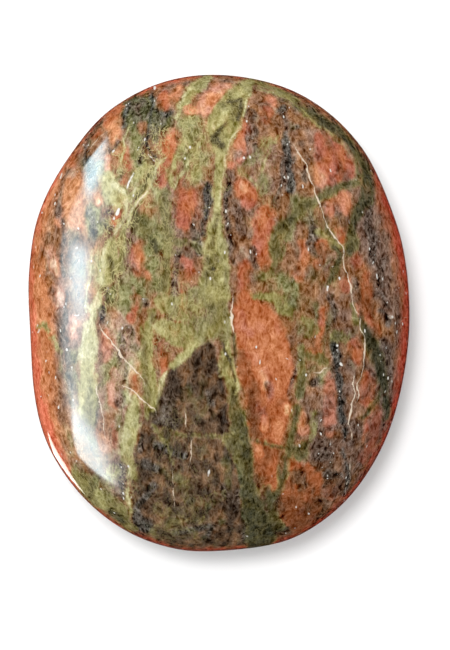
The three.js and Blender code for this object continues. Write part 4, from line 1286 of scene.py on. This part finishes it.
def add_camera():
    scale = LENGTH / STONE_ROWS
    rim = (cad_low.z + cad_high.z) / 2 * PER_METRE
    camera = bpy.data.cameras.new("camera")
    camera.sensor_width = SENSOR
    camera.lens = SENSOR * CAMERA_DISTANCE / (FRAME_HEIGHT * scale)
    camera.clip_start = 0.01
    camera.clip_end = 20
    holder = bpy.data.objects.new("camera", camera)
    x = (FRAME_WIDTH / 2 - STONE_MIDDLE[0]) * scale
    y = (STONE_MIDDLE[1] - FRAME_HEIGHT / 2) * scale
    holder.location = Vector((x, y, rim + CAMERA_DISTANCE)) * MM
    bpy.context.scene.collection.objects.link(holder)
    bpy.context.scene.camera = holder


def add_floor():
    material = bpy.data.materials.new("pale_floor")
    material.use_nodes = True
    shader = material.node_tree.nodes["Principled BSDF"]
    shader.inputs["Base Color"].default_value = (0.9, 0.9, 0.9, 1)
    shader.inputs["Roughness"].default_value = 0.9
    shader.inputs["Specular IOR Level"].default_value = 0.1
    corners = [(x * FLOOR_REACH, y * FLOOR_REACH, 0) for x, y in ((-1, -1), (1, -1), (1, 1), (-1, 1))]
    mesh = bpy.data.meshes.new("floor")
    mesh.from_pydata(corners, [], [(0, 1, 2, 3)])
    mesh.materials.append(material)
    floor = bpy.data.objects.new("floor", mesh)
    bpy.context.scene.collection.objects.link(floor)
    floor.visible_glossy = False


def add_light(name, place, size, brightness, back=None):
    """A rectangular light, which faces the stone unless it is said where its back looks."""
    light = bpy.data.lights.new(name, "AREA")
    light.shape = "RECTANGLE"
    light.size, light.size_y = size
    light.energy = brightness * math.pi * size[0] * size[1]
    holder = bpy.data.objects.new(name, light)
    holder.location = place
    holder.rotation_euler = Vector(back or place).to_track_quat("Z", "Y").to_euler()
    holder.visible_camera = False
    bpy.context.scene.collection.objects.link(holder)
    return holder


def pane_glow(n, y, z, turn, spans, fades):
    """How bright a pane is at a place of the wall, 0 to 1. It spans these two ranges in
    metres along axes turned by this many degrees, and fades over these lengths inside them."""
    cos, sin = math.cos(math.radians(turn)), math.sin(math.radians(turn))
    along = n.sum(n.times(y, cos), n.times(z, sin))
    up = n.sum(n.times(z, cos), n.times(y, -sin))
    glow = 1.0
    for place, (low, high), (low_fade, high_fade) in zip((along, up), spans, fades):
        glow = n.times(glow, n.rise(place, low, low + low_fade))
        glow = n.times(glow, n.rise(place, high, high - high_fade))
    return glow


def add_window_wall():
    """The wall of windows on the left. It shows in the polish and lights nothing."""
    middle = (-WALL_DISTANCE, 0, WALL_SIZE[1] / 2)
    wall = add_light("window_wall", middle, WALL_SIZE, 1, back=(-1, 0, 0))
    wall.visible_diffuse = False
    wall.data.use_nodes = True
    tree = wall.data.node_tree
    n = Nodes(tree)
    parts = n.add("SeparateXYZ", {0: n.add("NewGeometry").outputs["Position"]})
    light = (0.0, 0.0, 0.0)
    for brightness, tint, turn, spans, fades in PANES:
        glow = pane_glow(n, parts.outputs["Y"], parts.outputs["Z"], turn, spans, fades)
        shade = [brightness * share for share in tint]
        light = n.vector("ADD", n.vector("MULTIPLY", glow, shade), light)
    tree.links.new(light, tree.nodes["Emission"].inputs["Color"])


def add_sky():
    world = bpy.data.worlds.new("studio")
    world.use_nodes = True
    n = Nodes(world.node_tree)
    heading = n.add("TexCoord").outputs["Generated"]
    toward = n.add("VectorMath", {0: heading, 1: SKY_SIDE}, operation="DOT_PRODUCT").outputs["Value"]
    glow = n.times(n.sum(1.0, n.times(toward, SKY_LEAN)), SKY_BRIGHTNESS)
    background = world.node_tree.nodes["Background"]
    background.inputs["Color"].default_value = (1, 1, 1, 1)
    n.tree.links.new(glow, background.inputs["Strength"])
    world.cycles_visibility.glossy = False
    bpy.context.scene.world = world
    bpy.context.scene.view_settings.view_transform = "Standard"


def add_studio():
    add_sky()
    key = add_light("key", **KEY)
    key.visible_glossy = False
    add_window_wall()
    glint = add_light("foot_glint", **FOOT_GLINT, back=(0, 0, -1))
    glint.data.color = FOOT_GLINT_TINT
    glint.visible_diffuse = False


stone = make_stone()
stone.data.materials.append(unakite())
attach(stone, "root")
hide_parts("stone")

add_camera()
add_floor()
add_studio()
